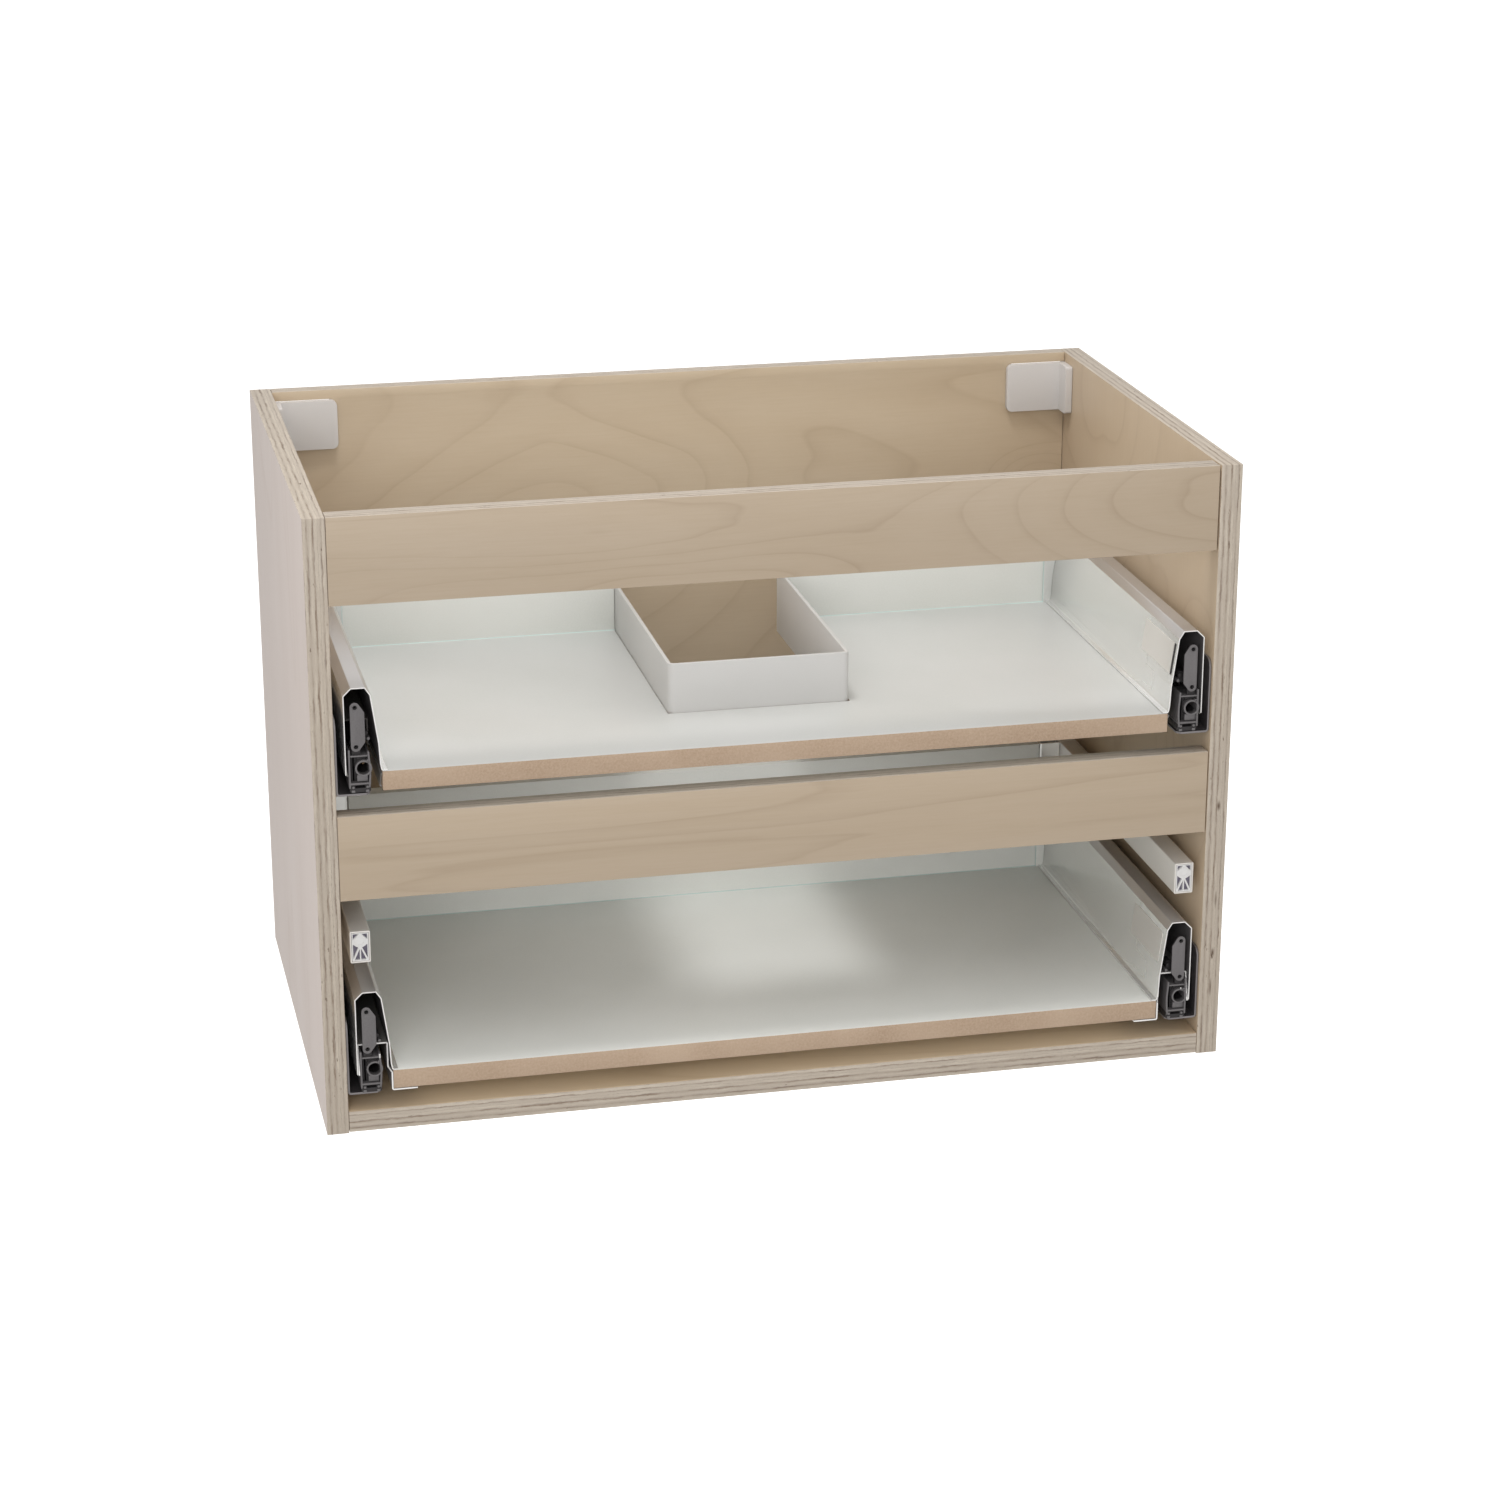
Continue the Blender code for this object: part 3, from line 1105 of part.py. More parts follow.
def build_drawer(level, fixed, datum):
    """Runners, cages, sides and board parts that both drawers have."""
    floor_top = fixed.location.z
    drawer = make_empty(level + "_drawer_slide", datum, floor_top)
    middle = make_empty(level + "_middle_slide", datum, floor_top)
    outer_cages = make_empty(level + "_outer_cage_slide", datum, floor_top)
    inner_cages = make_empty(level + "_inner_cage_slide", datum, floor_top)
    add_cabinet_runners(level, fixed)
    add_middle_runners(level, middle)
    add_roller_cages(level, "outer", outer_cages, OUTER_CAGE_CENTRE, LOWER_ROLLER_HEIGHT)
    add_roller_cages(level, "inner", inner_cages, INNER_CAGE_CENTRE, UPPER_ROLLER_HEIGHT)
    floor = add_floor(level, drawer)
    add_drawer_sides(level, drawer)
    add_drawer_runners(level, drawer)
    add_front_connectors(level, drawer)
    add_front_levers(level, drawer)
    add_back_brackets(level, drawer)
    return drawer, floor


def build_cabinet():
    """The whole cabinet."""
    datum = make_empty("cabinet_datum", None, -CARCASS_HEIGHT / 2)
    frames = {
        "upper": make_empty("upper_runner_frame", datum, UPPER_FLOOR_TOP),
        "lower": make_empty("lower_runner_frame", datum, LOWER_FLOOR_TOP),
    }
    add_side_panels(datum, frames)
    add_cross_panels(datum)
    add_hangers(datum)
    add_hanger_covers(datum)
    upper, upper_floor = build_drawer("upper", frames["upper"], datum)
    add_cutout_notch(upper_floor, upper)
    add_cutout_surround(upper)
    add_upper_back_walls(upper)
    lower, _ = build_drawer("lower", frames["lower"], datum)
    add_lower_back_wall(lower)
    add_gallery_rails(lower)
    add_gallery_inserts(lower)
    add_gallery_supports(lower)
    bpy.context.view_layer.update()


build_cabinet()
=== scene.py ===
# %% [markdown]
# # A wall-hung drawer cabinet
# The object is a vanity carcass of birch plywood that hangs on a wall, open at the top for a basin. Two
# drawers with folded steel sides run in it on telescoping runners. The fronts are not fitted yet, so the
# ends of the mechanism show. The solids of every piece come from the CAD model. This lesson gives them their
# looks: crisp edges, small details and procedural materials.

# %% Load the CAD model
import math
from contextlib import contextmanager

import bmesh
import bpy
from mathutils import Matrix, Vector


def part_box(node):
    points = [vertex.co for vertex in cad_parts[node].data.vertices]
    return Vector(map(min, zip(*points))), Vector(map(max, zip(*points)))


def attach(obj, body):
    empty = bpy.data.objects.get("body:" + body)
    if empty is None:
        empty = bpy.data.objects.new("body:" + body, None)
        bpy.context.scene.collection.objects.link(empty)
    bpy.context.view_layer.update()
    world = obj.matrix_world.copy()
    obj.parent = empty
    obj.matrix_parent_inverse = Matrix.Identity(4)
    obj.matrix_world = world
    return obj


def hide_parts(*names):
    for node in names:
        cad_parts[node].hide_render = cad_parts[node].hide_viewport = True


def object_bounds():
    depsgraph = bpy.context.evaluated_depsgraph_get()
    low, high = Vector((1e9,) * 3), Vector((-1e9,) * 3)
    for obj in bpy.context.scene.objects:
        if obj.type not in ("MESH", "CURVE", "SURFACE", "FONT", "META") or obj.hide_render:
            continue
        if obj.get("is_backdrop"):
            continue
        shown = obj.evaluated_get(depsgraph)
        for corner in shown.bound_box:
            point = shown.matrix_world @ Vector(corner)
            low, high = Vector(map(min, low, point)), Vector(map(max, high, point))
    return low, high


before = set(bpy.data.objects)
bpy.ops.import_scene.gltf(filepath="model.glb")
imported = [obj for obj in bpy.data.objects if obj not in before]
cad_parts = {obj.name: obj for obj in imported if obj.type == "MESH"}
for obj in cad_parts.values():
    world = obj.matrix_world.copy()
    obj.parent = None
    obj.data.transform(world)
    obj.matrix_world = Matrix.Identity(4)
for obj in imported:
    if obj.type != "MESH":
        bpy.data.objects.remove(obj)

cad_box = [list(corner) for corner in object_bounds()]
print("CAD box in metres:", cad_box)

# %% [markdown]
# ## The camera
# A camera is easiest to repeat when its directions are known as vectors. Here the forward and right
# directions were solved from the carcass's corners. The up direction is their cross product, and the three
# together are the camera's rotation. Blender's camera looks along its own -Z, so forward goes in with its
# sign turned.

# %% Camera
CAMERA_PLACE = (-0.62349, -3.08050, 0.98614)
FORWARD = Vector((0.20739474, 0.92166513, -0.32790367)).normalized()
RIGHT = Vector((0.97559995, -0.21955575, -0.00006889)).normalized()
LENS_MM = 85.663
SENSOR_MM = 36.0

camera_data = bpy.data.cameras.new("studio_camera")
camera_data.lens = LENS_MM
camera_data.sensor_width = SENSOR_MM
camera = bpy.data.objects.new("studio_camera", camera_data)
bpy.context.scene.collection.objects.link(camera)
up = RIGHT.cross(FORWARD)
turn = Matrix((RIGHT, up, -FORWARD)).transposed()
camera.matrix_world = Matrix.Translation(CAMERA_PLACE) @ turn.to_4x4()
bpy.context.scene.camera = camera
bpy.context.scene.view_settings.view_transform = "Standard"
print("camera looks down by", round(math.degrees(math.asin(-FORWARD.z)), 2), "degrees")

# %% [markdown]
# ## Helpers for node trees
# Shader colours are linear light, and the hex values that people read off a picture are sRGB, so one
# function turns them. Node trees get long when every node takes four lines. One function that adds a node,
# sets it and links it keeps a material readable as a list of steps.

# %% Colour and node helpers


def colour(code):
    """An sRGB hex value as linear red, green, blue and alpha."""
    channels = [int(code[place:place + 2], 16) / 255 for place in (1, 3, 5)]
    linear = [value / 12.92 if value <= 0.04045 else ((value + 0.055) / 1.055) ** 2.4 for value in channels]
    return (*linear, 1.0)


def add_node(tree, kind, inputs=None, stops=(), **settings):
    """Add a node with its settings and links.

    An input is a value, a socket, or a node whose first output in use is linked. Stops are for a colour ramp:
    each is a place with a colour or with a plain number.
    """
    node = tree.nodes.new(kind)
    for name, value in settings.items():
        setattr(node, name, value)
    for place in range(len(stops) - 2):
        node.color_ramp.elements.new((place + 1) / len(stops))
    for place, (position, value) in enumerate(stops):
        element = node.color_ramp.elements[place]
        element.position = position
        element.color = value if isinstance(value, tuple) else (value, value, value, 1.0)
    for key, value in (inputs or {}).items():
        if isinstance(value, bpy.types.Node):
            value = next(socket for socket in value.outputs if socket.enabled)
        if isinstance(value, bpy.types.NodeSocket):
            tree.links.new(value, node.inputs[key])
        else:
            node.inputs[key].default_value = value
    return node


def per_axis(even, odd):
    """A scale for each axis: the even one, apart from the axes that have an odd one."""
    return [odd.get(axis, even) for axis in range(3)]


def start_material(name, **sockets):
    """A Principled material. Values that are even all over go on the shader's own sockets."""
    material = bpy.data.materials.new(name)
    material.use_nodes = True
    tree = material.node_tree
    shader = tree.nodes["Principled BSDF"]
    for key, value in sockets.items():
        shader.inputs[key].default_value = value
    place = add_node(tree, "ShaderNodeTexCoord").outputs["Object"]
    return material, tree, shader, place


def dress(tree, shader, tone, relief, strength, depth):
    """Link the last mix of colours and a relief to a shader."""
    bump = add_node(tree, "ShaderNodeBump", {"Strength": strength, "Distance": depth, "Height": relief})
    tree.links.new(tone.outputs[2], shader.inputs["Base Color"])
    tree.links.new(bump.outputs[0], shader.inputs["Normal"])


# %% [markdown]
# ## Birch plywood, the faces
# A birch face is peeled off the log like paper off a roll, so its growth rings show as wide, wandering
# contour lines, not as straight stripes. A noise field read as a height, and cut into steps, gives such
# contour lines. Each ring darkens slowly and ends sharply, which a fraction does by itself. Fine fibres run
# along the grain on top.

# %% Birch face material
BIRCH_WARM = [colour(code) for code in ("#CAB79F", "#C5B095", "#957B5E", "#B39C81")]
BIRCH_SHEEN_TONES = [colour(code) for code in ("#E3D7D1", "#DBCEC7", "#C2AFA2", "#D3C5BD")]
BIRCH_RELIEF = 0.0003


def add_swell(tree, place, along, across, spot, height):
    """Raise a height field in an ellipse, so its rings run around that spot. Returns the new height."""
    centre_u, centre_v, radius_u, radius_v, gain = spot
    location, scale = [0.0, 0.0, 0.0], [0.0, 0.0, 0.0]
    location[along], scale[along] = -centre_u / radius_u, 1 / radius_u
    location[across], scale[across] = -centre_v / radius_v, 1 / radius_v
    near = add_node(tree, "ShaderNodeMapping", {"Vector": place, "Location": location, "Scale": scale})
    reach = add_node(tree, "ShaderNodeVectorMath", {0: near}, operation="LENGTH")
    rise = add_node(tree, "ShaderNodeMapRange", {
        "Value": reach, "To Min": gain, "To Max": 0.0}, interpolation_type="SMOOTHSTEP")
    return add_node(tree, "ShaderNodeMath", {0: height, 1: rise}, operation="ADD")


def birch_face(name, along, across, figure, spots):
    """Peeled birch veneer. along and across are the panel's grain and width axes, as 0, 1 or 2.

    The figure is a shift of the noise field, its scale along and across the grain, its number of rings, a
    tint and the sheet's four tones. Each spot is the middle of a nest of rings: its place, radii and height.
    """
    shift, along_scale, across_scale, rings, tint, (light, deep, line_tone, fibre_tone) = figure
    material, tree, shader, place = start_material(name, Roughness=0.46)
    rings_scale = per_axis(2.0, {along: along_scale, across: across_scale})
    rings_place = add_node(tree, "ShaderNodeMapping", {
        "Vector": place, "Location": shift, "Scale": rings_scale})
    level = add_node(tree, "ShaderNodeTexNoise", {
        "Vector": rings_place, "Scale": 1.0, "Detail": 3.0, "Roughness": 0.34, "Distortion": 0.5})
    for spot in spots:
        level = add_swell(tree, place, along, across, spot, level)
    steps = add_node(tree, "ShaderNodeMath", {0: level, 1: rings}, operation="MULTIPLY")
    ring = add_node(tree, "ShaderNodeMath", {0: steps}, operation="FRACT")
    line = add_node(tree, "ShaderNodeValToRGB", {"Fac": ring}, [
        (0.0, 0.06), (0.40, 0.0), (0.82, 0.07), (0.925, 0.22), (0.955, 0.32), (1.0, 0.06)])
    cloud = add_node(tree, "ShaderNodeTexNoise", {
        "Vector": rings_place, "Scale": 2.3, "Detail": 5.0, "Roughness": 0.65})
    patch = add_node(tree, "ShaderNodeValToRGB", {"Fac": cloud}, [(0.28, 0.30), (0.72, 0.95)])
    fade = add_node(tree, "ShaderNodeMath", {0: line, 1: patch}, operation="MULTIPLY")
    fibre_scale = per_axis(700.0, {along: 30.0})
    fibre_place = add_node(tree, "ShaderNodeMapping", {"Vector": place, "Scale": fibre_scale})
    fibre = add_node(tree, "ShaderNodeTexNoise", {
        "Vector": fibre_place, "Scale": 1.0, "Detail": 4.0, "Roughness": 0.65})
    fibre_line = add_node(tree, "ShaderNodeValToRGB", {"Fac": fibre}, [(0.42, 0.0), (0.74, 0.17)])
    body = add_node(tree, "ShaderNodeMix", {0: patch, 6: light, 7: deep}, data_type="RGBA")
    ringed = add_node(tree, "ShaderNodeMix", {0: fade, 6: body, 7: line_tone}, data_type="RGBA")
    grained = add_node(tree, "ShaderNodeMix", {0: fibre_line, 6: ringed, 7: fibre_tone}, data_type="RGBA")
    toned = add_node(tree, "ShaderNodeMix", {
        0: 1.0, 6: grained, 7: colour(tint)}, data_type="RGBA", blend_type="MULTIPLY")
    dress(tree, shader, toned, fibre, 0.10, BIRCH_RELIEF)
    return material


# %% [markdown]
# ## Birch plywood, the edges
# On an edge the layers show. Plies whose grain runs along the edge stay cream, and the ones between them,
# cut across the grain, look brown and grey. Thin dark glue lines part them. The position through the
# thickness, from 0 to 1, gives the stripes, and a slow wobble along the edge keeps them from looking ruled.
# A swell, the same step that made rings on the faces, puts a dark knot where one is wanted.

# %% Birch edge material
CREAM, BEIGE, BROWN, GREY, SPECK, KNOT, PAINTED_EDGE_LIGHT = [
    colour(code) for code in ("#C5BAAB", "#B3A799", "#7B6857", "#8F8379", "#7A6753", "#5E4B3B", "#F4EBDC")]
PLY_LAYERS = [
    (0.000, GREY), (0.020, CREAM), (0.100, CREAM), (0.150, BEIGE), (0.200, BROWN), (0.235, GREY),
    (0.262, BEIGE), (0.355, CREAM), (0.425, BEIGE), (0.445, BROWN), (0.492, BROWN), (0.515, GREY),
    (0.545, CREAM), (0.650, CREAM), (0.668, GREY), (0.685, CREAM), (0.765, BEIGE), (0.800, GREY),
    (0.826, BROWN), (0.850, CREAM), (0.950, CREAM), (0.975, BEIGE), (1.000, GREY)]
PLY_WOBBLE = 0.22


def birch_edge(name, through, low, thickness, shift, lift, knots):
    """Edge of a plywood panel. Its layers run from its low to its high side along the axis called through.

    lift is how far the edge is painted paler, painted light on an edge in shade. Each knot is a place up the
    edge and through it, two radii and a strength.
    """
    material, tree, shader, place = start_material(name, Roughness=0.58)
    axes = add_node(tree, "ShaderNodeSeparateXYZ", {0: place})
    slow_scale = per_axis(55.0, {through: 190.0})
    slow_place = add_node(tree, "ShaderNodeMapping", {
        "Vector": place, "Location": shift, "Scale": slow_scale})
    wobble = add_node(tree, "ShaderNodeTexNoise", {
        "Vector": slow_place, "Scale": 1.0, "Detail": 7.0, "Roughness": 0.72})
    depth = add_node(tree, "ShaderNodeMath", {0: axes.outputs[through], 1: low}, operation="SUBTRACT")
    share = add_node(tree, "ShaderNodeMath", {0: depth, 1: thickness}, operation="DIVIDE")
    offset = add_node(tree, "ShaderNodeMath", {
        0: wobble, 1: PLY_WOBBLE, 2: -PLY_WOBBLE / 2}, operation="MULTIPLY_ADD")
    layer = add_node(tree, "ShaderNodeMath", {0: share, 1: offset}, operation="ADD")
    stripe = add_node(tree, "ShaderNodeValToRGB", {"Fac": layer}, PLY_LAYERS)
    long_scale = per_axis(30.0, {through: 240.0})
    long_place = add_node(tree, "ShaderNodeMapping", {
        "Vector": place, "Location": shift, "Scale": long_scale})
    fading = add_node(tree, "ShaderNodeTexNoise", {
        "Vector": long_place, "Scale": 1.0, "Detail": 5.0, "Roughness": 0.7})
    paler = add_node(tree, "ShaderNodeValToRGB", {"Fac": fading}, [(0.36, 0.0), (0.58, 0.85)])
    speck = add_node(tree, "ShaderNodeTexNoise", {
        "Vector": long_place, "Scale": 14.0, "Detail": 4.0, "Roughness": 0.75})
    speck_share = add_node(tree, "ShaderNodeValToRGB", {"Fac": speck}, [(0.55, 0.0), (0.74, 0.55)])
    knot_scale = per_axis(85.0, {through: 330.0})
    knot_place = add_node(tree, "ShaderNodeMapping", {
        "Vector": place, "Location": shift, "Scale": knot_scale})
    knot = add_node(tree, "ShaderNodeTexNoise", {
        "Vector": knot_place, "Scale": 1.0, "Detail": 3.0, "Roughness": 0.6})
    level = add_node(tree, "ShaderNodeValToRGB", {"Fac": knot}, [(0.69, 0.0), (0.73, 0.8)])
    for spot in knots:
        level = add_swell(tree, place, 2, through, spot, level)
    banded = add_node(tree, "ShaderNodeMix", {0: paler, 6: stripe, 7: BEIGE}, data_type="RGBA")
    specked = add_node(tree, "ShaderNodeMix", {0: speck_share, 6: banded, 7: SPECK}, data_type="RGBA")
    knotted = add_node(tree, "ShaderNodeMix", {0: level, 6: specked, 7: KNOT}, data_type="RGBA")
    lifted = add_node(tree, "ShaderNodeMix", {0: lift, 6: knotted, 7: PAINTED_EDGE_LIGHT}, data_type="RGBA")
    dress(tree, shader, lifted, speck, 0.25, BIRCH_RELIEF)
    return material


# %% [markdown]
# ## Boards, coatings, metals and mouldings
# Melamine paper is pressed onto the drawer boards with a faint orange-peel plate, so it shines softly and
# unevenly. The chipboard edge under it is raw: pressed chips with light and dark flakes. Powder coating on
# the steel sides melts into a fine pebbled skin. The runner parts are rolled steel with drawing lines along
# their length: the middle and cabinet runners darkened, the white-coated drawer runners grey with painted
# shade. The connectors are die-cast and tumbled, which leaves them matt and slightly cloudy.

# %% Materials of the other pieces
MM = 0.001
ROLLED = (1, 0.04, 1)
DRIFT_SCALE = 14.0


def speckled(name, base, deep, grain_mm, share, bump_mm, roughness, metallic=0.0, stretch=(1, 1, 1)):
    """A finish that wanders between two tones at a given grain size, with the same grain as relief."""
    material, tree, shader, place = start_material(name, Roughness=roughness, Metallic=metallic)
    scale = [value / (grain_mm * MM) for value in stretch]
    grain_place = add_node(tree, "ShaderNodeMapping", {"Vector": place, "Scale": scale})
    grain = add_node(tree, "ShaderNodeTexNoise", {
        "Vector": grain_place, "Scale": 1.0, "Detail": 3.0, "Roughness": 0.6})
    drift = add_node(tree, "ShaderNodeTexNoise", {"Vector": place, "Scale": DRIFT_SCALE, "Detail": 2.0})
    both = add_node(tree, "ShaderNodeMath", {0: grain, 1: drift}, operation="MULTIPLY")
    amount = add_node(tree, "ShaderNodeMath", {0: both, 1: share}, operation="MULTIPLY")
    mixed = add_node(tree, "ShaderNodeMix", {0: amount, 6: colour(base), 7: colour(deep)}, data_type="RGBA")
    dress(tree, shader, mixed, grain, 0.5, bump_mm * MM)
    return material


# One white melamine in lit and shaded copies: the lower drawer's boards are painted whiter, as painted light
# where little light reaches into it, and the upper floor greyer than the upper walls, as painted shade.
# name, two tones, grain in mm, share of the deep tone, relief in mm, roughness, metallic, stretch
MELAMINE = {
    "upper": speckled("painted_shade_white_melamine", "#D3D3D1", "#C3C6C1", 1.6, 1.0, 0.02, 0.34),
    "lower": speckled("painted_light_white_melamine", "#F4F5F1", "#E3E5DF", 1.6, 1.0, 0.02, 0.34)}
WALL_MELAMINE = {
    "upper": speckled("shaded_white_melamine", "#EAEBE7", "#DADDD7", 1.6, 1.0, 0.02, 0.34),
    "lower": MELAMINE["lower"]}
CHIPBOARD = speckled("raw_chipboard_edge", "#C4AE98", "#957A62", 1.8, 1.5, 0.15, 0.8)
EDGE_BAND = speckled("white_edge_band", "#E2E3DF", "#CFD2CC", 1.2, 1.0, 0.01, 0.4)
COATED_STEEL = speckled("powder_coated_steel", "#F2F2F0", "#EAEAE8", 0.7, 1.0, 0.0004, 0.27, 0.72)
PAINTED_STEEL = speckled("painted_gallery_steel", "#E9E5E0", "#DBD7D1", 0.7, 1.0, 0.006, 0.3, 0.38)
# A darker copy of the coated steel for the upward faces at the sides' tops: painted shade.
SHADED_TOP_STEEL = speckled("painted_shade_top_steel", "#D6D3D2", "#C9C6C4", 0.7, 1.0, 0.0004, 0.32, 0.78)
CUT_EDGE = speckled("coated_cut_edge", "#F6F4F2", "#E4E2E0", 0.5, 1.0, 0.004, 0.4)
# The drawer runners are white-coated; their grey tone here is painted shade.
SHADED_RUNNER_STEEL = speckled("painted_shade_runner_steel", "#9A9794", "#7B7875", 0.9, 1.2, 0.01, 0.42, 0.4, ROLLED)
RUNNER_RIM = speckled("sheared_runner_rim", "#8E8A8B", "#6A6668", 0.6, 1.2, 0.01, 0.4, 0.4)
SEALANT = speckled("pale_sealing_compound", "#D2DFDC", "#BFD0CC", 0.8, 1.0, 0.01, 0.35)
PLUG_DEPTH = speckled("shaded_plug_cells", "#75707F", "#565161", 0.6, 1.0, 0.01, 0.6)
# A dark tone for the faces inside the sides' hollow: painted shade.
HOLLOW_SHADE = speckled("painted_shade_side_hollow", "#625F60", "#474445", 1.0, 1.2, 0.02, 0.55)
RUNNER_STEEL = speckled("rolled_dark_steel", "#5D595B", "#3A3739", 0.9, 1.3, 0.015, 0.38, 0.55, ROLLED)
CAST_METAL = speckled("tumbled_die_casting", "#7B7879", "#545152", 0.8, 1.3, 0.03, 0.5, 0.35)
DARK_CASTING = speckled("shaded_die_casting", "#3A3738", "#211F20", 0.8, 1.3, 0.03, 0.6, 0.3)
# A dark tone for the bolt heads sunk in the lever's holes.
BOLT_STEEL = speckled("dark_bolt_steel", "#3B393A", "#242223", 0.5, 1.2, 0.01, 0.4, 0.7)
# A bright tone for the connectors' small glints: painted highlight.
PAINTED_GLINT = speckled("painted_glint_steel", "#E8E6E4", "#BDBAB8", 0.5, 0.8, 0.005, 0.25, 0.8)
COVER_PLASTIC = speckled("moulded_hanger_cover", "#CFCBC8", "#BDB8B5", 0.6, 1.0, 0.01, 0.42)
SURROUND_PLASTIC = speckled("extruded_white_surround", "#CFCECC", "#BDBCBA", 0.6, 1.0, 0.01, 0.38)
INSERT_PLASTIC = speckled("moulded_end_plug", "#E2E1E0", "#CFCECD", 0.5, 1.0, 0.01, 0.45)
CAGE_PLASTIC = speckled("natural_acetal_cage", "#D8D5CC", "#C2BEB3", 0.5, 1.0, 0.01, 0.4)
SCREW_STEEL = speckled("zinc_plated_screws", "#B9B8B4", "#93918C", 0.4, 1.2, 0.01, 0.3, 0.85)
print("finishes made:", len(bpy.data.materials))

# %% [markdown]
# ## Shaping helpers
# Nearly everything here is a board or a folded sheet. A board is a flat outline given a thickness. A folded
# sheet is a bent line given a thickness to one side and drawn out along its length. Real edges are never
# perfectly sharp: a tiny bevel catches the light as a thin line, and that line makes a piece look made.

# %% Meshes and objects
EDGE_ANGLE = math.radians(32)
SMOOTH_ANGLE = math.radians(38)


def link(thing):
    """Put an object in the scene."""
    bpy.context.scene.collection.objects.link(thing)
    return thing


@contextmanager
def editing(mesh):
    """A mesh opened as a bmesh, and written back afterwards."""
    form = bmesh.new()
    form.from_mesh(mesh)
    yield form
    form.to_mesh(mesh)
    form.free()


def as_mesh(thing, name):
    """The evaluated object as a plain mesh. The object itself is removed."""
    evaluated = thing.evaluated_get(bpy.context.evaluated_depsgraph_get())
    mesh = bpy.data.meshes.new_from_object(evaluated)
    mesh.name = name
    bpy.data.objects.remove(thing, do_unlink=True)
    return mesh


def smoothed(mesh):
    """The mesh shaded smooth, apart from its sharp corners."""
    mesh.shade_smooth()
    mesh.set_sharp_from_angle(angle=SMOOTH_ANGLE)
    return mesh


def softened(name, mesh, edge, segments=2):
    """The mesh with a small bevel on its sharp edges, shaded smooth over it."""
    thing = link(bpy.data.objects.new(name, mesh))
    if edge > 0:
        bevel = thing.modifiers.new("edge", "BEVEL")
        bevel.width = edge
        bevel.segments = segments
        bevel.limit_method = "ANGLE"
        bevel.angle_limit = EDGE_ANGLE
        bevel.use_clamp_overlap = True
    return smoothed(as_mesh(thing, name))


def joined(name, meshes):
    """Several closed shells as one mesh, each with its material index."""
    result = bpy.data.meshes.new(name)
    with editing(result) as form:
        for mesh, index in meshes:
            first = len(form.faces)
            form.from_mesh(mesh)
            form.faces.ensure_lookup_table()
            for face in form.faces[first:]:
                face.material_index = index
    return result


# %% Boards: a flat outline with a thickness
WELD = 1e-6
FLAT_ANGLE = math.radians(0.4)
ROUND_STEPS = 4
AXES = {"XY": (0, 1, 2), "XZ": (0, 2, 1), "YZ": (1, 2, 0)}
TURNS = {
    "XY": Matrix(((1, 0, 0), (0, 1, 0), (0, 0, 1))),
    "XZ": Matrix(((1, 0, 0), (0, 0, -1), (0, 1, 0))),
    "YZ": Matrix(((0, 0, 1), (1, 0, 0), (0, 1, 0))),
}


def board(name, loops, span, plane, edge=0.0, segments=2):
    """A flat outline with its holes. The plane's two axes hold the outline, and span is the third."""
    curve = bpy.data.curves.new(name, "CURVE")
    curve.dimensions = "2D"
    curve.fill_mode = "BOTH"
    curve.extrude = abs(span[1] - span[0]) / 2
    for loop in loops:
        spline = curve.splines.new("POLY")
        spline.points.add(len(loop) - 1)
        for point, place in zip(spline.points, loop):
            point.co = (place[0], place[1], 0, 1)
        spline.use_cyclic_u = True
    mesh = as_mesh(link(bpy.data.objects.new(name, curve)), name)
    middle = Vector((0, 0, 0))
    middle[AXES[plane][2]] = (span[0] + span[1]) / 2
    with editing(mesh) as form:
        bmesh.ops.remove_doubles(form, verts=form.verts, dist=WELD)
        bmesh.ops.dissolve_limit(form, angle_limit=FLAT_ANGLE, verts=form.verts, edges=form.edges)
        turn = Matrix.Translation(middle) @ TURNS[plane].to_4x4()
        bmesh.ops.transform(form, matrix=turn, verts=form.verts)
        bmesh.ops.recalc_face_normals(form, faces=form.faces)
    return softened(name, mesh, edge, segments)


def paint_rim(mesh, axis, limit=0.6):
    """Material index 0 on a board's two faces across an axis, and 1 on its edges."""
    for face in mesh.polygons:
        face.material_index = 0 if abs(face.normal[axis]) > limit else 1


def arc(centre, radius, start, end, steps=6):
    """Points on an arc, from one angle in degrees to another, ends included."""
    angles = [math.radians(start + (end - start) * step / steps) for step in range(steps + 1)]
    return [(centre[0] + radius * math.cos(a), centre[1] + radius * math.sin(a)) for a in angles]


def circle(centre, radius, steps=28):
    """A closed round outline."""
    return arc(centre, radius, 0, 360, steps)[:-1]


def rectangle(u_span, v_span, radius=0.0):
    """A closed rectangle, with round corners if a radius is given."""
    low_u, high_u = sorted(u_span)
    low_v, high_v = sorted(v_span)
    if radius <= 0:
        return [(high_u, high_v), (low_u, high_v), (low_u, low_v), (high_u, low_v)]
    left, right, low, high = low_u + radius, high_u - radius, low_v + radius, high_v - radius
    loop = []
    for centre, start in (((right, high), 0), ((left, high), 90), ((left, low), 180), ((right, low), 270)):
        loop += arc(centre, radius, start, start + 90, ROUND_STEPS)
    return loop


# %% Folded sheets: a bent line with a thickness
BEND_STEPS = 6
FOLD_EDGE = 0.00015


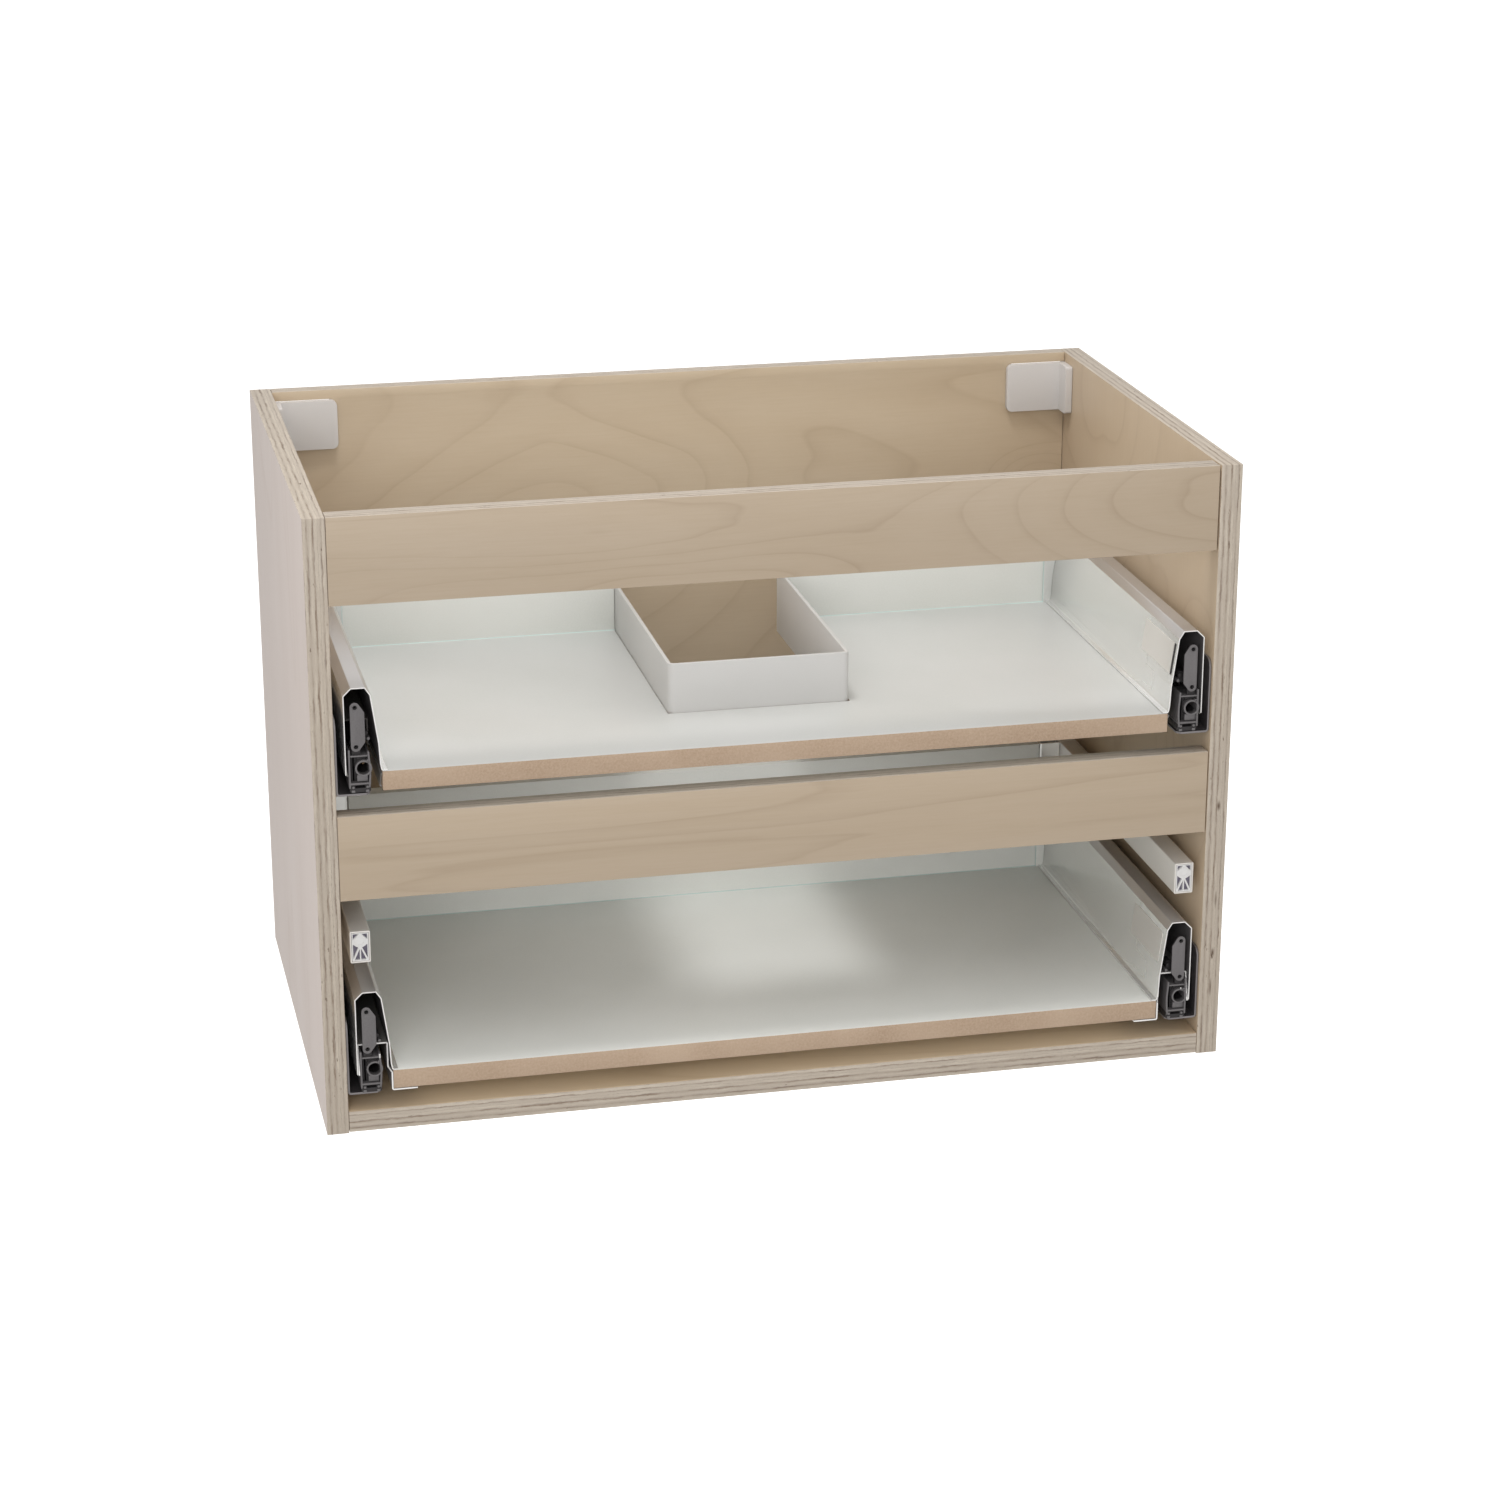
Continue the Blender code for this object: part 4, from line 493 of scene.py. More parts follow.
def rounded(points, radius):
    """Round the corners of an open path. A radius may be given for each corner."""
    radii = radius if isinstance(radius, (list, tuple)) else [radius] * (len(points) - 2)
    path = [Vector(points[0])]
    for before, corner, after, bend in zip(points, points[1:], points[2:], radii):
        corner = Vector(corner)
        back = (Vector(before) - corner).normalized()
        ahead = (Vector(after) - corner).normalized()
        half = back.angle(ahead) / 2
        centre = corner + (back + ahead).normalized() * (bend / math.sin(half))
        start = corner + back * (bend / math.tan(half)) - centre
        end = corner + ahead * (bend / math.tan(half)) - centre
        sweep = start.angle_signed(end)
        turns = [Matrix.Rotation(-sweep * step / BEND_STEPS, 2) for step in range(BEND_STEPS + 1)]
        path += [centre + turn @ start for turn in turns]
    return path + [Vector(points[-1])]


def facing(side, path):
    """A path drawn for the right side, or its mirror image for the left with the same material side."""
    return path if side > 0 else [Vector((-point.x, point.y)) for point in reversed(path)]


def offset_path(path, distance):
    """The path moved to its right, corners mitred."""
    directions = [(after - before).normalized() for before, after in zip(path, path[1:])]
    normals = [Vector((step.y, -step.x)) for step in directions]
    moved = []
    for place, point in enumerate(path):
        first = normals[max(place - 1, 0)]
        second = normals[min(place, len(normals) - 1)]
        middle = (first + second).normalized()
        moved.append(point + middle * (distance / middle.dot(first)))
    return moved


def sheet(name, path, thickness, plane, start, end, edge=FOLD_EDGE):
    """A folded sheet, its material right of the path. Ends are values or functions of a path point.

    The faces on the offset side get material index 1, the cut edges index 2 and the others index 0.
    """
    ends = [value if callable(value) else (lambda point, fixed=value: fixed) for value in (start, end)]
    mesh = bpy.data.meshes.new(name)
    with editing(mesh) as form:
        rows = []
        for line in (path, offset_path(path, thickness)):
            for reach in ends:
                depths = [reach(point) for point in path]
                places = [(point.x, depth, point.y) if plane == "XZ" else (point.x, point.y, depth)
                          for point, depth in zip(line, depths)]
                rows.append([form.verts.new(place) for place in places])
        outer_start, outer_end, inner_start, inner_end = rows
        for step in range(len(path) - 1):
            for first, second, index in (
                    (outer_start, outer_end, 0), (inner_start, inner_end, 1),
                    (outer_start, inner_start, 2), (outer_end, inner_end, 2)):
                face = form.faces.new((first[step], first[step + 1], second[step + 1], second[step]))
                face.material_index = index
        for step in (0, len(path) - 1):
            rim = form.faces.new((outer_start[step], outer_end[step], inner_end[step], inner_start[step]))
            rim.material_index = 2
        bmesh.ops.recalc_face_normals(form, faces=form.faces)
    return softened(name, mesh, edge)


# %% Sides, levels, and putting a finished mesh in its place
LEVELS = ("upper", "lower")
SIDES = (("left", -1), ("right", 1))
CORNERS = [(level, side, f"{level}_{name}") for level in LEVELS for name, side in SIDES]


def mirror_span(side, near, far):
    """A span in X from two distances measured on the right."""
    return tuple(sorted((side * near, side * far)))


def add_piece(name, mesh, materials, body, slot, *replaced):
    """An object for a mesh, riding on a body in place of CAD nodes."""
    indices = [face.material_index for face in mesh.polygons]
    mesh.materials.clear()
    for material in materials:
        mesh.materials.append(material)
    mesh.polygons.foreach_set("material_index", indices)
    piece = link(bpy.data.objects.new(name, mesh))
    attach(piece, body)
    if replaced:
        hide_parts(*replaced)


# %% [markdown]
# ## The plywood carcass
# Six boards: two sides, the bottom, the back and two rails. The CAD boxes give their places. The cross
# boards' boxes include the dowels in their ends, so their length is taken from the space between the sides.
# The back has a notch in each top corner for the wall hangers. Each board has its own materials, because
# each veneer sheet and each stack of plies looks different.

# %% Plywood boards
GAP = 0.0003
BOARD_EDGE = 0.00045
NOTCH_PLAY = 0.003
side_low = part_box("right_side_panel")[0]
inside = side_low.x
hanger_low, hanger_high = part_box("right_hanger_body")
# plane, grain axis and width axis of each board, and its figure as birch_face reads it
boards = {
    "left_side_panel": ("YZ", 2, 1, ((5.30, 0.70, 1.4), 1.5, 4.0, 6.0, "#F6F6F6", BIRCH_WARM)),
    "right_side_panel": ("YZ", 2, 1, ((3.10, 0.40, 0.9), 1.6, 4.0, 6.0, "#F6F6F6", BIRCH_WARM)),
    "bottom_panel": ("XY", 0, 1, ((2.20, 4.10, 0.5), 1.4, 6.0, 6.0, "#FFFDF8", BIRCH_WARM)),
    "back_panel": ("XZ", 0, 2, ((0.85, 0.60, 1.32), 2.2, 6.0, 6.0, "#F9FBFB", BIRCH_WARM)),
    "top_front_rail": ("XZ", 0, 2, ((5.62, 2.30, 0.35), 1.9, 9.0, 7.0, "#EBEDF1", BIRCH_WARM)),
    "middle_front_rail": ("XZ", 0, 2, ((7.40, 1.10, 3.65), 0.7, 19.0, 8.0, "#EBEDF1", BIRCH_WARM)),
}
# The outward faces of the sides get paler, pinkish-grey tones: a painted reflection of the pale surroundings
# at a glancing view.
OUTER_SHEEN_FIGURE = ((0.30, 1.70, 0.2), 1.2, 5.0, 5.0, "#FFFFFF", BIRCH_SHEEN_TONES)
# the middles of the ring nests: share of the board along and across the grain, radii in metres, height
swells = {
    "right_side_panel": ((0.98, 0.62, 0.20, 0.30, 0.55), (0.55, 0.10, 0.16, 0.10, 0.45)),
    "bottom_panel": ((0.55, 0.30, 0.30, 0.09, 0.45),),
    "back_panel": (
        (0.34, 0.70, 0.30, 0.20, 0.60), (0.66, 0.74, 0.16, 0.08, -0.16), (0.97, 0.77, 0.07, 0.035, 0.55)),
    "top_front_rail": (
        (1.04, 0.75, 0.34, 0.17, 0.70), (0.46, 0.02, 0.22, 0.055, 0.50), (0.10, -0.25, 0.30, 0.085, 0.35)),
    "middle_front_rail": ((0.80, -0.30, 0.40, 0.070, 0.20), (0.30, 1.20, 0.36, 0.050, 0.14)),
}
END_GAP = {"top_front_rail": 0.0014, "middle_front_rail": 0.0010}
# the middle rail's edges are painted paler: painted light on an edge that lies in shade
EDGE_LIGHT_LIFT = {"middle_front_rail": 0.15}
EDGE_KNOTS = {"right_side_panel": (
    (-0.0345, 0.3723, 0.0065, 0.0022, 1.0), (-0.1186, 0.3733, 0.0110, 0.0014, 0.7),
    (-0.1668, 0.3727, 0.0060, 0.0020, 1.0), (-0.1985, 0.3721, 0.0110, 0.0014, 0.8))}


def board_outline(name, low, high, plane):
    """Outline of a plywood board. The back's has two notches open toward the sides."""
    first, second, through = AXES[plane]
    if name != "back_panel":
        return rectangle((low[first], high[first]), (low[second], high[second]))
    notch_x = hanger_low.x - NOTCH_PLAY
    notch_low, notch_high = hanger_low.z - NOTCH_PLAY, hanger_high.z + NOTCH_PLAY
    right = [(high.x, low.z), (high.x, notch_low), (notch_x, notch_low), (notch_x, notch_high),
             (high.x, notch_high), (high.x, high.z)]
    return right + [(-x, z) for x, z in reversed(right)]


for name, (plane, along, across, figure) in boards.items():
    through = AXES[plane][2]
    low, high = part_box(name)
    if through == 0:
        low.x, high.x = (inside, high.x) if low.x > 0 else (low.x, -inside)
    else:
        low.x, high.x = -inside + GAP, inside - END_GAP.get(name, GAP)
    span = (low[through], high[through])
    mesh = board(name, [board_outline(name, low, high, plane)], span, plane, BOARD_EDGE)
    paint_rim(mesh, through, 0.9)
    size = high - low
    spots = [(low[along] + u * size[along], low[across] + v * size[across], *rest)
             for u, v, *rest in swells.get(name, ())]
    lift, knots = EDGE_LIGHT_LIFT.get(name, 0.0), EDGE_KNOTS.get(name, ())
    materials = [
        birch_face(name + "_birch_face", along, across, figure, spots),
        birch_edge(name + "_birch_edge", through, low[through], size[through], figure[0], lift, knots)]
    # outward faces of the sides take the paler tones of the painted reflection
    if through == 0:
        for face in mesh.polygons:
            if face.material_index == 0 and face.normal.x * face.center.x > 0:
                face.material_index = 2
        materials.append(birch_face(name + "_outer_sheen_face", along, across, OUTER_SHEEN_FIGURE, ()))
    add_piece(name + "_board", mesh, materials, "carcass", "birch_plywood", name)
    print(name, "thickness in mm:", round(size[through] / MM, 2))

# %% [markdown]
# ## Hanger covers
# Each cover is a moulded cap: a plate with rounded corners against the back, and an arm that runs forward
# along the side over the hanger's fixing screws. Two boards joined by a Boolean and then bevelled give the
# even, soft edge radius that a moulded part has.

# %% Hanger covers
COVER_CORNER = 0.005
COVER_EDGE = 0.0012
COVER_EDGE_STEPS = 4
COVER_FLAT_ANGLE = math.radians(0.5)
PLATE_FRONT = -0.0205
PLATE_OVERLAP = 0.004
ARM_DEPTH = 0.0063
TRIM = 0.02


def sharp_board(name, outline, span, plane):
    """A board without a bevel, as an object for a Boolean."""
    return link(bpy.data.objects.new(name, board(name, [outline], span, plane)))


for name, side in SIDES:
    low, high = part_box(name + "_hanger_cover")
    near_x, face_x = sorted((abs(low.x), abs(high.x)))
    height = (low.z, high.z)
    plate_outline = rectangle(mirror_span(side, near_x, face_x + PLATE_OVERLAP), height, COVER_CORNER)
    arm_outline = rectangle((low.y, high.y), height, COVER_CORNER / 2)
    trim_outline = rectangle((low.y - TRIM, high.y + TRIM), (low.z - TRIM, high.z + TRIM))
    cover = sharp_board("plate", plate_outline, (PLATE_FRONT, high.y), "XZ")
    arm = sharp_board("arm", arm_outline, mirror_span(side, face_x - ARM_DEPTH, face_x), "YZ")
    trim = sharp_board("trim", trim_outline, mirror_span(side, face_x, face_x + TRIM), "YZ")
    for operation, other in (("DIFFERENCE", trim), ("UNION", arm)):
        modifier = cover.modifiers.new(operation, "BOOLEAN")
        modifier.operation = operation
        modifier.object = other
        modifier.solver = "EXACT"
    shell_name = name + "_hanger_cover_shell"
    mesh = as_mesh(cover, shell_name)
    for other in (arm, trim):
        bpy.data.objects.remove(other, do_unlink=True)
    with editing(mesh) as form:
        bmesh.ops.remove_doubles(form, verts=form.verts, dist=WELD * 10)
        bmesh.ops.dissolve_limit(form, angle_limit=COVER_FLAT_ANGLE, verts=form.verts, edges=form.edges)
    mesh = softened(shell_name, mesh, COVER_EDGE, COVER_EDGE_STEPS)
    add_piece(shell_name, mesh, [COVER_PLASTIC], "carcass", "pale_hanger_plastic", name + "_hanger_cover")
    print(shell_name, "faces:", len(mesh.polygons))

# %% [markdown]
# ## Drawer boards
# The floors and back walls are melamine-faced chipboard. The floor's front edge stays raw, because the front
# will cover it. The upper floor has a notch for the siphon, lined by a three-sided surround with round
# corners.

# %% Floors, back walls and surround
BOARD_RIM = 0.0003
BACK_WALLS = {"upper_left_back_wall": "upper", "upper_right_back_wall": "upper", "lower_back_wall": "lower"}
SURROUND_WALL = 0.0032
SURROUND_BEND = 0.0055
SURROUND_EDGE = 0.0005

cut_low, cut_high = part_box("siphon_cutout_surround")
for level in LEVELS:
    low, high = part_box(level + "_drawer_floor")
    outline = rectangle((low.x, high.x), (low.y, high.y))
    if level == "upper":
        left, right, front = cut_low.x - GAP, cut_high.x + GAP, cut_low.y - GAP
        outline = [(high.x, low.y), (high.x, high.y), (right, high.y), (right, front), (left, front),
                   (left, high.y), (low.x, high.y), (low.x, low.y)]
    # each level's floor takes its own copy of the melamine: painted light on the lower one, painted shade on
    # the upper
    mesh = board(level + "_floor", [outline], (low.z, high.z), "XY", BOARD_RIM)
    paint_rim(mesh, 2)
    add_piece(level + "_floor_board", mesh, [MELAMINE[level], CHIPBOARD], level + "_drawer",
              "white_melamine_board", level + "_drawer_floor")

for node, level in BACK_WALLS.items():
    low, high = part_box(node)
    mesh = board(node, [rectangle((low.x, high.x), (low.z, high.z))], (low.y, high.y), "XZ", BOARD_RIM)
    paint_rim(mesh, 1)
    add_piece(node + "_board", mesh, [WALL_MELAMINE[level], EDGE_BAND], level + "_drawer",
              "white_melamine_board", node)

points = [(cut_high.x, cut_high.y), (cut_high.x, cut_low.y), (cut_low.x, cut_low.y), (cut_low.x, cut_high.y)]
path = rounded(points, SURROUND_BEND)
mesh = sheet("surround", path, SURROUND_WALL, "XY", cut_low.z, cut_high.z, SURROUND_EDGE)
# The faces on the sheet's offset side take the paler plug plastic: painted light, a lit copy of the
# surround's own plastic.
add_piece("siphon_surround", mesh, [SURROUND_PLASTIC, INSERT_PLASTIC, SURROUND_PLASTIC], "upper_drawer",
          "white_surround_plastic", "siphon_cutout_surround")
print("siphon cut-out in mm:", [round(value / MM, 1) for value in (cut_high - cut_low)[:2]])

# %% [markdown]
# ## Folded drawer sides
# One strip of sheet steel makes each side: up the outside, over two chamfered shoulders, down the inside in
# a slight slope, and out onto the floor board in a small foot. It is hollow, so its front end shows the
# sheet's thin cut edge around a dark space. The faces inside the hollow get a dark tone: painted shade.

# %% Drawer sides
low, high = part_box("upper_right_drawer_side")
DRAWER_FRONT, DRAWER_REAR, SIDE_FACE = low.y, high.y, high.x
FLOOR_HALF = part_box("upper_drawer_floor")[1].x
FLOOR_TOP = {level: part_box(level + "_drawer_floor")[1].z for level in LEVELS}
BACK_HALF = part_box("lower_back_wall")[1].x
SIDE_SHEET = 0.0009
SIDE_BEND = 0.0012
SIDE_HEIGHT = 0.0702
WEB_HEIGHT = 0.0228
# points of the profile: inset from the outer face, height over the floor board
WALL_TOP = (0.0220, SIDE_HEIGHT - 0.0065)
WALL_LOW = (0.0276, WEB_HEIGHT)
FOOT_TOP = (0.0284, 0.0067)
side_profile = (
    (0.0, -0.0015), (0.0, SIDE_HEIGHT - 0.0062), (0.0063, SIDE_HEIGHT), (0.0178, SIDE_HEIGHT),
    WALL_TOP, WALL_LOW, FOOT_TOP, (0.0293, 0.0012), (0.0334, 0.0012))
TOP_SHADE_SLOPE = 0.45
TOP_SHADE_HEIGHT = 0.05

for level, side, corner in CORNERS:
    points = [(SIDE_FACE - inset, FLOOR_TOP[level] + height) for inset, height in reversed(side_profile)]
    path = facing(side, rounded(points, SIDE_BEND))
    mesh = sheet("side", path, SIDE_SHEET, "XZ", DRAWER_FRONT, DRAWER_REAR)
    # upward faces near the top take the darker copy of the steel: painted shade
    for face in mesh.polygons:
        shaded_top = face.normal.z > TOP_SHADE_SLOPE and face.center.z > FLOOR_TOP[level] + TOP_SHADE_HEIGHT
        if face.material_index == 0 and shaded_top:
            face.material_index = 3
    add_piece(corner + "_folded_side", mesh, [COATED_STEEL, HOLLOW_SHADE, CUT_EDGE, SHADED_TOP_STEEL],
              level + "_drawer", "white_coated_steel", corner + "_drawer_side")
print("drawer side length in mm:", round((DRAWER_REAR - DRAWER_FRONT) / MM, 1))

# %% [markdown]
# ## Blank cover plates and joint lines
# Near its front end each side carries a thin blank plate on its inner wall. The wall slopes, so the plate is
# drawn flat and then laid onto the wall by two directions: down the slope, and out of it. A strip closes the
# corner between back wall and side, and a fine bead of sealing compound lies along the back wall.

# %% Blank plates
PLATE_THICKNESS = 0.00035
PLATE_SPAN = (0.0078, 0.0800)
PLATE_DOWN = (0.0054, 0.0322)
PLATE_ROUND = 0.0020
SHADOW_STRIP_THICKNESS = 0.00004
SHADOW_STRIP_SPAN = (0.0034, 0.0078)
SHADOW_STRIP_ROUND = 0.0004


def on_wall(mesh, level, side):
    """Lay a flat mesh onto a drawer side's inner wall. Its X is height over the wall and its Z is down it."""
    top_point, low_point = [Vector((side * (SIDE_FACE - inset), 0, FLOOR_TOP[level] + height))
                            for inset, height in (WALL_TOP, WALL_LOW)]
    down = (low_point - top_point).normalized()
    out = Vector((down.z * side, 0, -down.x * side)).normalized()
    for vertex in mesh.vertices:
        height, y, along = vertex.co
        vertex.co = top_point + out * height + down * along + Vector((0, y, 0))
    with editing(mesh) as form:
        bmesh.ops.recalc_face_normals(form, faces=form.faces)
    return mesh


for level, side, corner in CORNERS:
    parts = []
    for index, depths, radius, thickness in (
            (0, PLATE_SPAN, PLATE_ROUND, PLATE_THICKNESS), (1, SHADOW_STRIP_SPAN, SHADOW_STRIP_ROUND, SHADOW_STRIP_THICKNESS)):
        outline = rectangle([DRAWER_FRONT + depth for depth in depths], PLATE_DOWN, radius)
        parts.append((board("plate", [outline], (0.0, thickness), "YZ"), index))
    # only the upper sides show a dark strip before the plate: a painted shadow of the gap at its front end
    mesh = on_wall(joined("plates", parts if level == "upper" else parts[:1]), level, side)
    add_piece(corner + "_blank_plate", mesh, [PAINTED_STEEL, DARK_CASTING], level + "_drawer",
              "white_coated_steel")
    print(corner, "blank plate faces:", len(mesh.polygons))

# %% Corner strips and sealing beads
BEAD = 0.0007
BEAD_STEPS = 4
STRIP_OVERLAP = 0.0005
STRIP_FOOT = 0.0294
STRIP_TOP = SIDE_HEIGHT - 0.0070
STRIP_DEPTHS = (0.0012, 0.0002)
STRIP_EDGE = 0.0002
SEAM_INSETS = (0.0009, 0.0002)
SEAM_RELIEF = 0.0001
wall_slope = (WALL_LOW[0] - WALL_TOP[0]) / (WALL_TOP[1] - WALL_LOW[1])

for level, side, corner in CORNERS:
    wall_low, wall_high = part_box("lower_back_wall" if level == "lower" else "upper_right_back_wall")
    floor_top = FLOOR_TOP[level]
    strip_top = min(wall_high.z - floor_top, STRIP_TOP)
    near_x = BACK_HALF - STRIP_OVERLAP
    wall_x = SIDE_FACE - WALL_LOW[0]
    outline = [(near_x, 0.0), (SIDE_FACE - STRIP_FOOT, 0.0), (SIDE_FACE - FOOT_TOP[0], FOOT_TOP[1]),
               (wall_x, WEB_HEIGHT), (wall_x + wall_slope * (strip_top - WEB_HEIGHT), strip_top),
               (near_x, strip_top)]
    placed = [(side * x, floor_top + z) for x, z in outline]
    front, rear = [wall_low.y - depth for depth in STRIP_DEPTHS]
    strip = board("strip", [placed], (front, rear), "XZ", STRIP_EDGE)
    seam_span = mirror_span(side, *[BACK_HALF - inset for inset in SEAM_INSETS])
    seam_outline = rectangle(seam_span, (floor_top, floor_top + strip_top))
    seam = board("seam", [seam_outline], (front - SEAM_RELIEF, rear), "XZ")
    add_piece(corner + "_corner_strip", joined("strip", [(strip, 0), (seam, 1)]), [MELAMINE[level], SEALANT],
              level + "_drawer", "white_melamine_board")

for node, level in BACK_WALLS.items():
    low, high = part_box(node)
    angles = [math.radians(90 * step / BEAD_STEPS) for step in range(BEAD_STEPS + 1)]
    hollow = [(low.y - BEAD * (1 - math.sin(a)), FLOOR_TOP[level] + BEAD * (1 - math.cos(a))) for a in angles]
    mesh = board("bead", [[(low.y, FLOOR_TOP[level])] + hollow], (low.x, high.x), "YZ")
    add_piece(node + "_bead", mesh, [SEALANT], level + "_drawer", "white_melamine_board")
    print(node, "bead length in mm:", round((high.x - low.x) / MM, 1))

# %% [markdown]
# ## Runners
# A full-extension runner has three parts on each side. The cabinet runner is an angle screwed to the
# carcass. The drawer runner grips the floor board and forms a web over it. Between them travels the middle
# runner. All three are folded sheets, so one function makes them from their profiles.

# %% Drawer, middle and cabinet runners
LIP_REACH = 0.0197
LIP_DROP = 0.0163
WEB_INSETS = (0.0264, 0.0012)
# points of the profile: distance from the middle, height over the floor board's top
drawer_profile = (
    (FLOOR_HALF + GAP - LIP_REACH, -LIP_DROP), (FLOOR_HALF + GAP, -LIP_DROP), (FLOOR_HALF + GAP, -0.0014),
    (SIDE_FACE - WEB_INSETS[0], 0.0012), (SIDE_FACE - WEB_INSETS[0], WEB_HEIGHT),
    (SIDE_FACE - WEB_INSETS[1], WEB_HEIGHT), (SIDE_FACE - WEB_INSETS[1], -0.0020))
DRAWER_RUNNER_BENDS = [0.0007, 0.0007, 0.0007, 0.0015, 0.0015]
DRAWER_RUNNER_SHEET = 0.0012
DRAWER_RUNNER_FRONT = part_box("lower_right_drawer_runner")[0].y
LIP_AHEAD = 0.0004
LIP_FRONT = min(DRAWER_RUNNER_FRONT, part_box("lower_drawer_floor")[0].y - LIP_AHEAD)
WEB_SETBACK = {"upper": 0.060, "lower": 0.0}
LIP_SETBACK = {"upper": 0.014, "lower": 0.0}
WEB_FOOT = -0.001
LIP_BEND = -0.0155
# the lower runner's front edge is bright, a painted highlight; the upper one stays grey, painted shade
RUNNER_EDGE_LIT_AND_SHADED = {"upper": SHADED_RUNNER_STEEL, "lower": CUT_EDGE}
MIDDLE_BEND = 0.0025
MIDDLE_SHEET = 0.0015
SHEET_EDGE = 0.0002
CABINET_BEND = 0.003
CABINET_SHEET = 0.0018
CABINET_EDGE = 0.0003
PLATE_CORNER = 0.008
FLANGE_CORNER = 0.0035
CORNER_STEPS = 8


def runner_front(level):
    """Where a drawer runner starts. The upper one's web is set far back, its lip's lowest part a little."""
    def start(point):
        above = point.y - FLOOR_TOP[level]
        if above > WEB_FOOT:
            return DRAWER_RUNNER_FRONT + WEB_SETBACK[level]
        return LIP_FRONT if above > LIP_BEND else LIP_FRONT + LIP_SETBACK[level]

    return start


def cabinet_front(low, high):
    """Where a cabinet runner starts. Its plate's top corner is rounded and its flange's corner cut off."""
    def start(point):
        above = point.y - (high.z - PLATE_CORNER)
        if above > 0:
            return low.y + PLATE_CORNER - math.sqrt(max(PLATE_CORNER ** 2 - above ** 2, 0))
        return low.y + max(FLANGE_CORNER - (abs(point.x) - low.x), 0)

    return start


for level, side, corner in CORNERS:
    points = [(x, FLOOR_TOP[level] + z) for x, z in drawer_profile]
    path = facing(side, rounded(points, DRAWER_RUNNER_BENDS))
    front = runner_front(level)
    mesh = sheet("drawer_runner", path, DRAWER_RUNNER_SHEET, "XZ", front, DRAWER_REAR, SHEET_EDGE)
    add_piece(corner + "_runner_section", mesh, [SHADED_RUNNER_STEEL, SHADED_RUNNER_STEEL, RUNNER_EDGE_LIT_AND_SHADED[level]],
              level + "_drawer", "white_coated_steel", corner + "_drawer_runner")

    low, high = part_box(level + "_right_middle_runner")
    points = ((low.x, high.z), (high.x, high.z), (high.x, low.z), (low.x, low.z))
    path = facing(side, rounded(points, MIDDLE_BEND))
    mesh = sheet("middle_runner", path, MIDDLE_SHEET, "XZ", low.y, high.y, SHEET_EDGE)
    add_piece(corner + "_middle_section", mesh, [RUNNER_STEEL] * 3, level + "_middle_runners",
              "grey_galvanised_steel", corner + "_middle_runner")

    low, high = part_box(level + "_right_cabinet_runner")
    face = inside - GAP
    flat = rounded(((low.x, low.z), (face, low.z), (face, high.z)), CABINET_BEND)
    flange = [Vector((low.x + reach, low.z)) for reach in (FLANGE_CORNER / 2, FLANGE_CORNER)]
    foot = high.z - PLATE_CORNER
    climb = [Vector((face, foot + PLATE_CORNER * step / CORNER_STEPS)) for step in range(CORNER_STEPS + 1)]
    path = facing(side, list(reversed(flat[:1] + flange + flat[1:-1] + climb)))
    mesh = sheet("cabinet_runner", path, CABINET_SHEET, "XZ", cabinet_front(low, high), high.y, CABINET_EDGE)
    add_piece(corner + "_cabinet_section", mesh, [RUNNER_STEEL, RUNNER_STEEL, RUNNER_RIM], "carcass",
              "grey_galvanised_steel", corner + "_cabinet_runner")
print("cabinet runner length in mm:", round((high.y - low.y) / MM, 1))

# %% [markdown]
# ## Front connectors and levers
# Inside each side's front end sits a die-cast block with a bore for the front's stud, and above it a lever
# plate on two bolts. The block's frame is mirrored from side to side, but its bore is offset to the right on
# both. Small castings look right when their walls, ring and feet are separate heights, so the block is built
# from several outlines set at different depths, with a darker tone on the sunk ones as painted shade.

# %% Front connectors
casting_low, casting_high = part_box("upper_right_front_connector")
CASTING_HALF = (casting_high.x - casting_low.x) / 2
CASTING_X = (casting_high.x + casting_low.x) / 2
CASTING_LOW = -0.0168
CASTING_TOP = 0.0142
UNIT_DROP = {"upper": 0.0, "lower": 0.0012}
BOW = 0.0010
BOW_STEPS = 10
OUTER_BAR = 0.0015
INNER_BAR = 0.0016
BAR_FOOT = CASTING_LOW + 0.004
BORE = (0.0029, 0.0035)
BORE_RADIUS = 0.0053
RING_WALL = 0.0014
RING = BORE_RADIUS + RING_WALL
RING_LEFT = BORE[0] - RING
KNOB = (BORE[0] + 0.0038, BORE[1] + 0.0056)
SILL_LOW = -0.0101
SILL_TOP = -0.0086
LINTEL_LOW = 0.0129
FOOT_X = 0.0056
LAP = 0.0004
METAL, DARK, GLINT_INDEX = 0, 1, 2


def cast(level, centre, rows):
    """Cast shells around a centre line, each from a row.

    A row is a material index, two depths behind the drawer's front, an edge radius, its steps and outlines.
    """
    height = FLOOR_TOP[level] - UNIT_DROP[level]
    parts = []
    for index, near, far, edge, segments, *loops in rows:
        placed = [[(centre + u, height + v) for u, v in loop] for loop in loops]
        span = (DRAWER_FRONT + near, DRAWER_FRONT + far)
        parts.append((board("casting", placed, span, "XZ", edge, segments), index))
    return parts


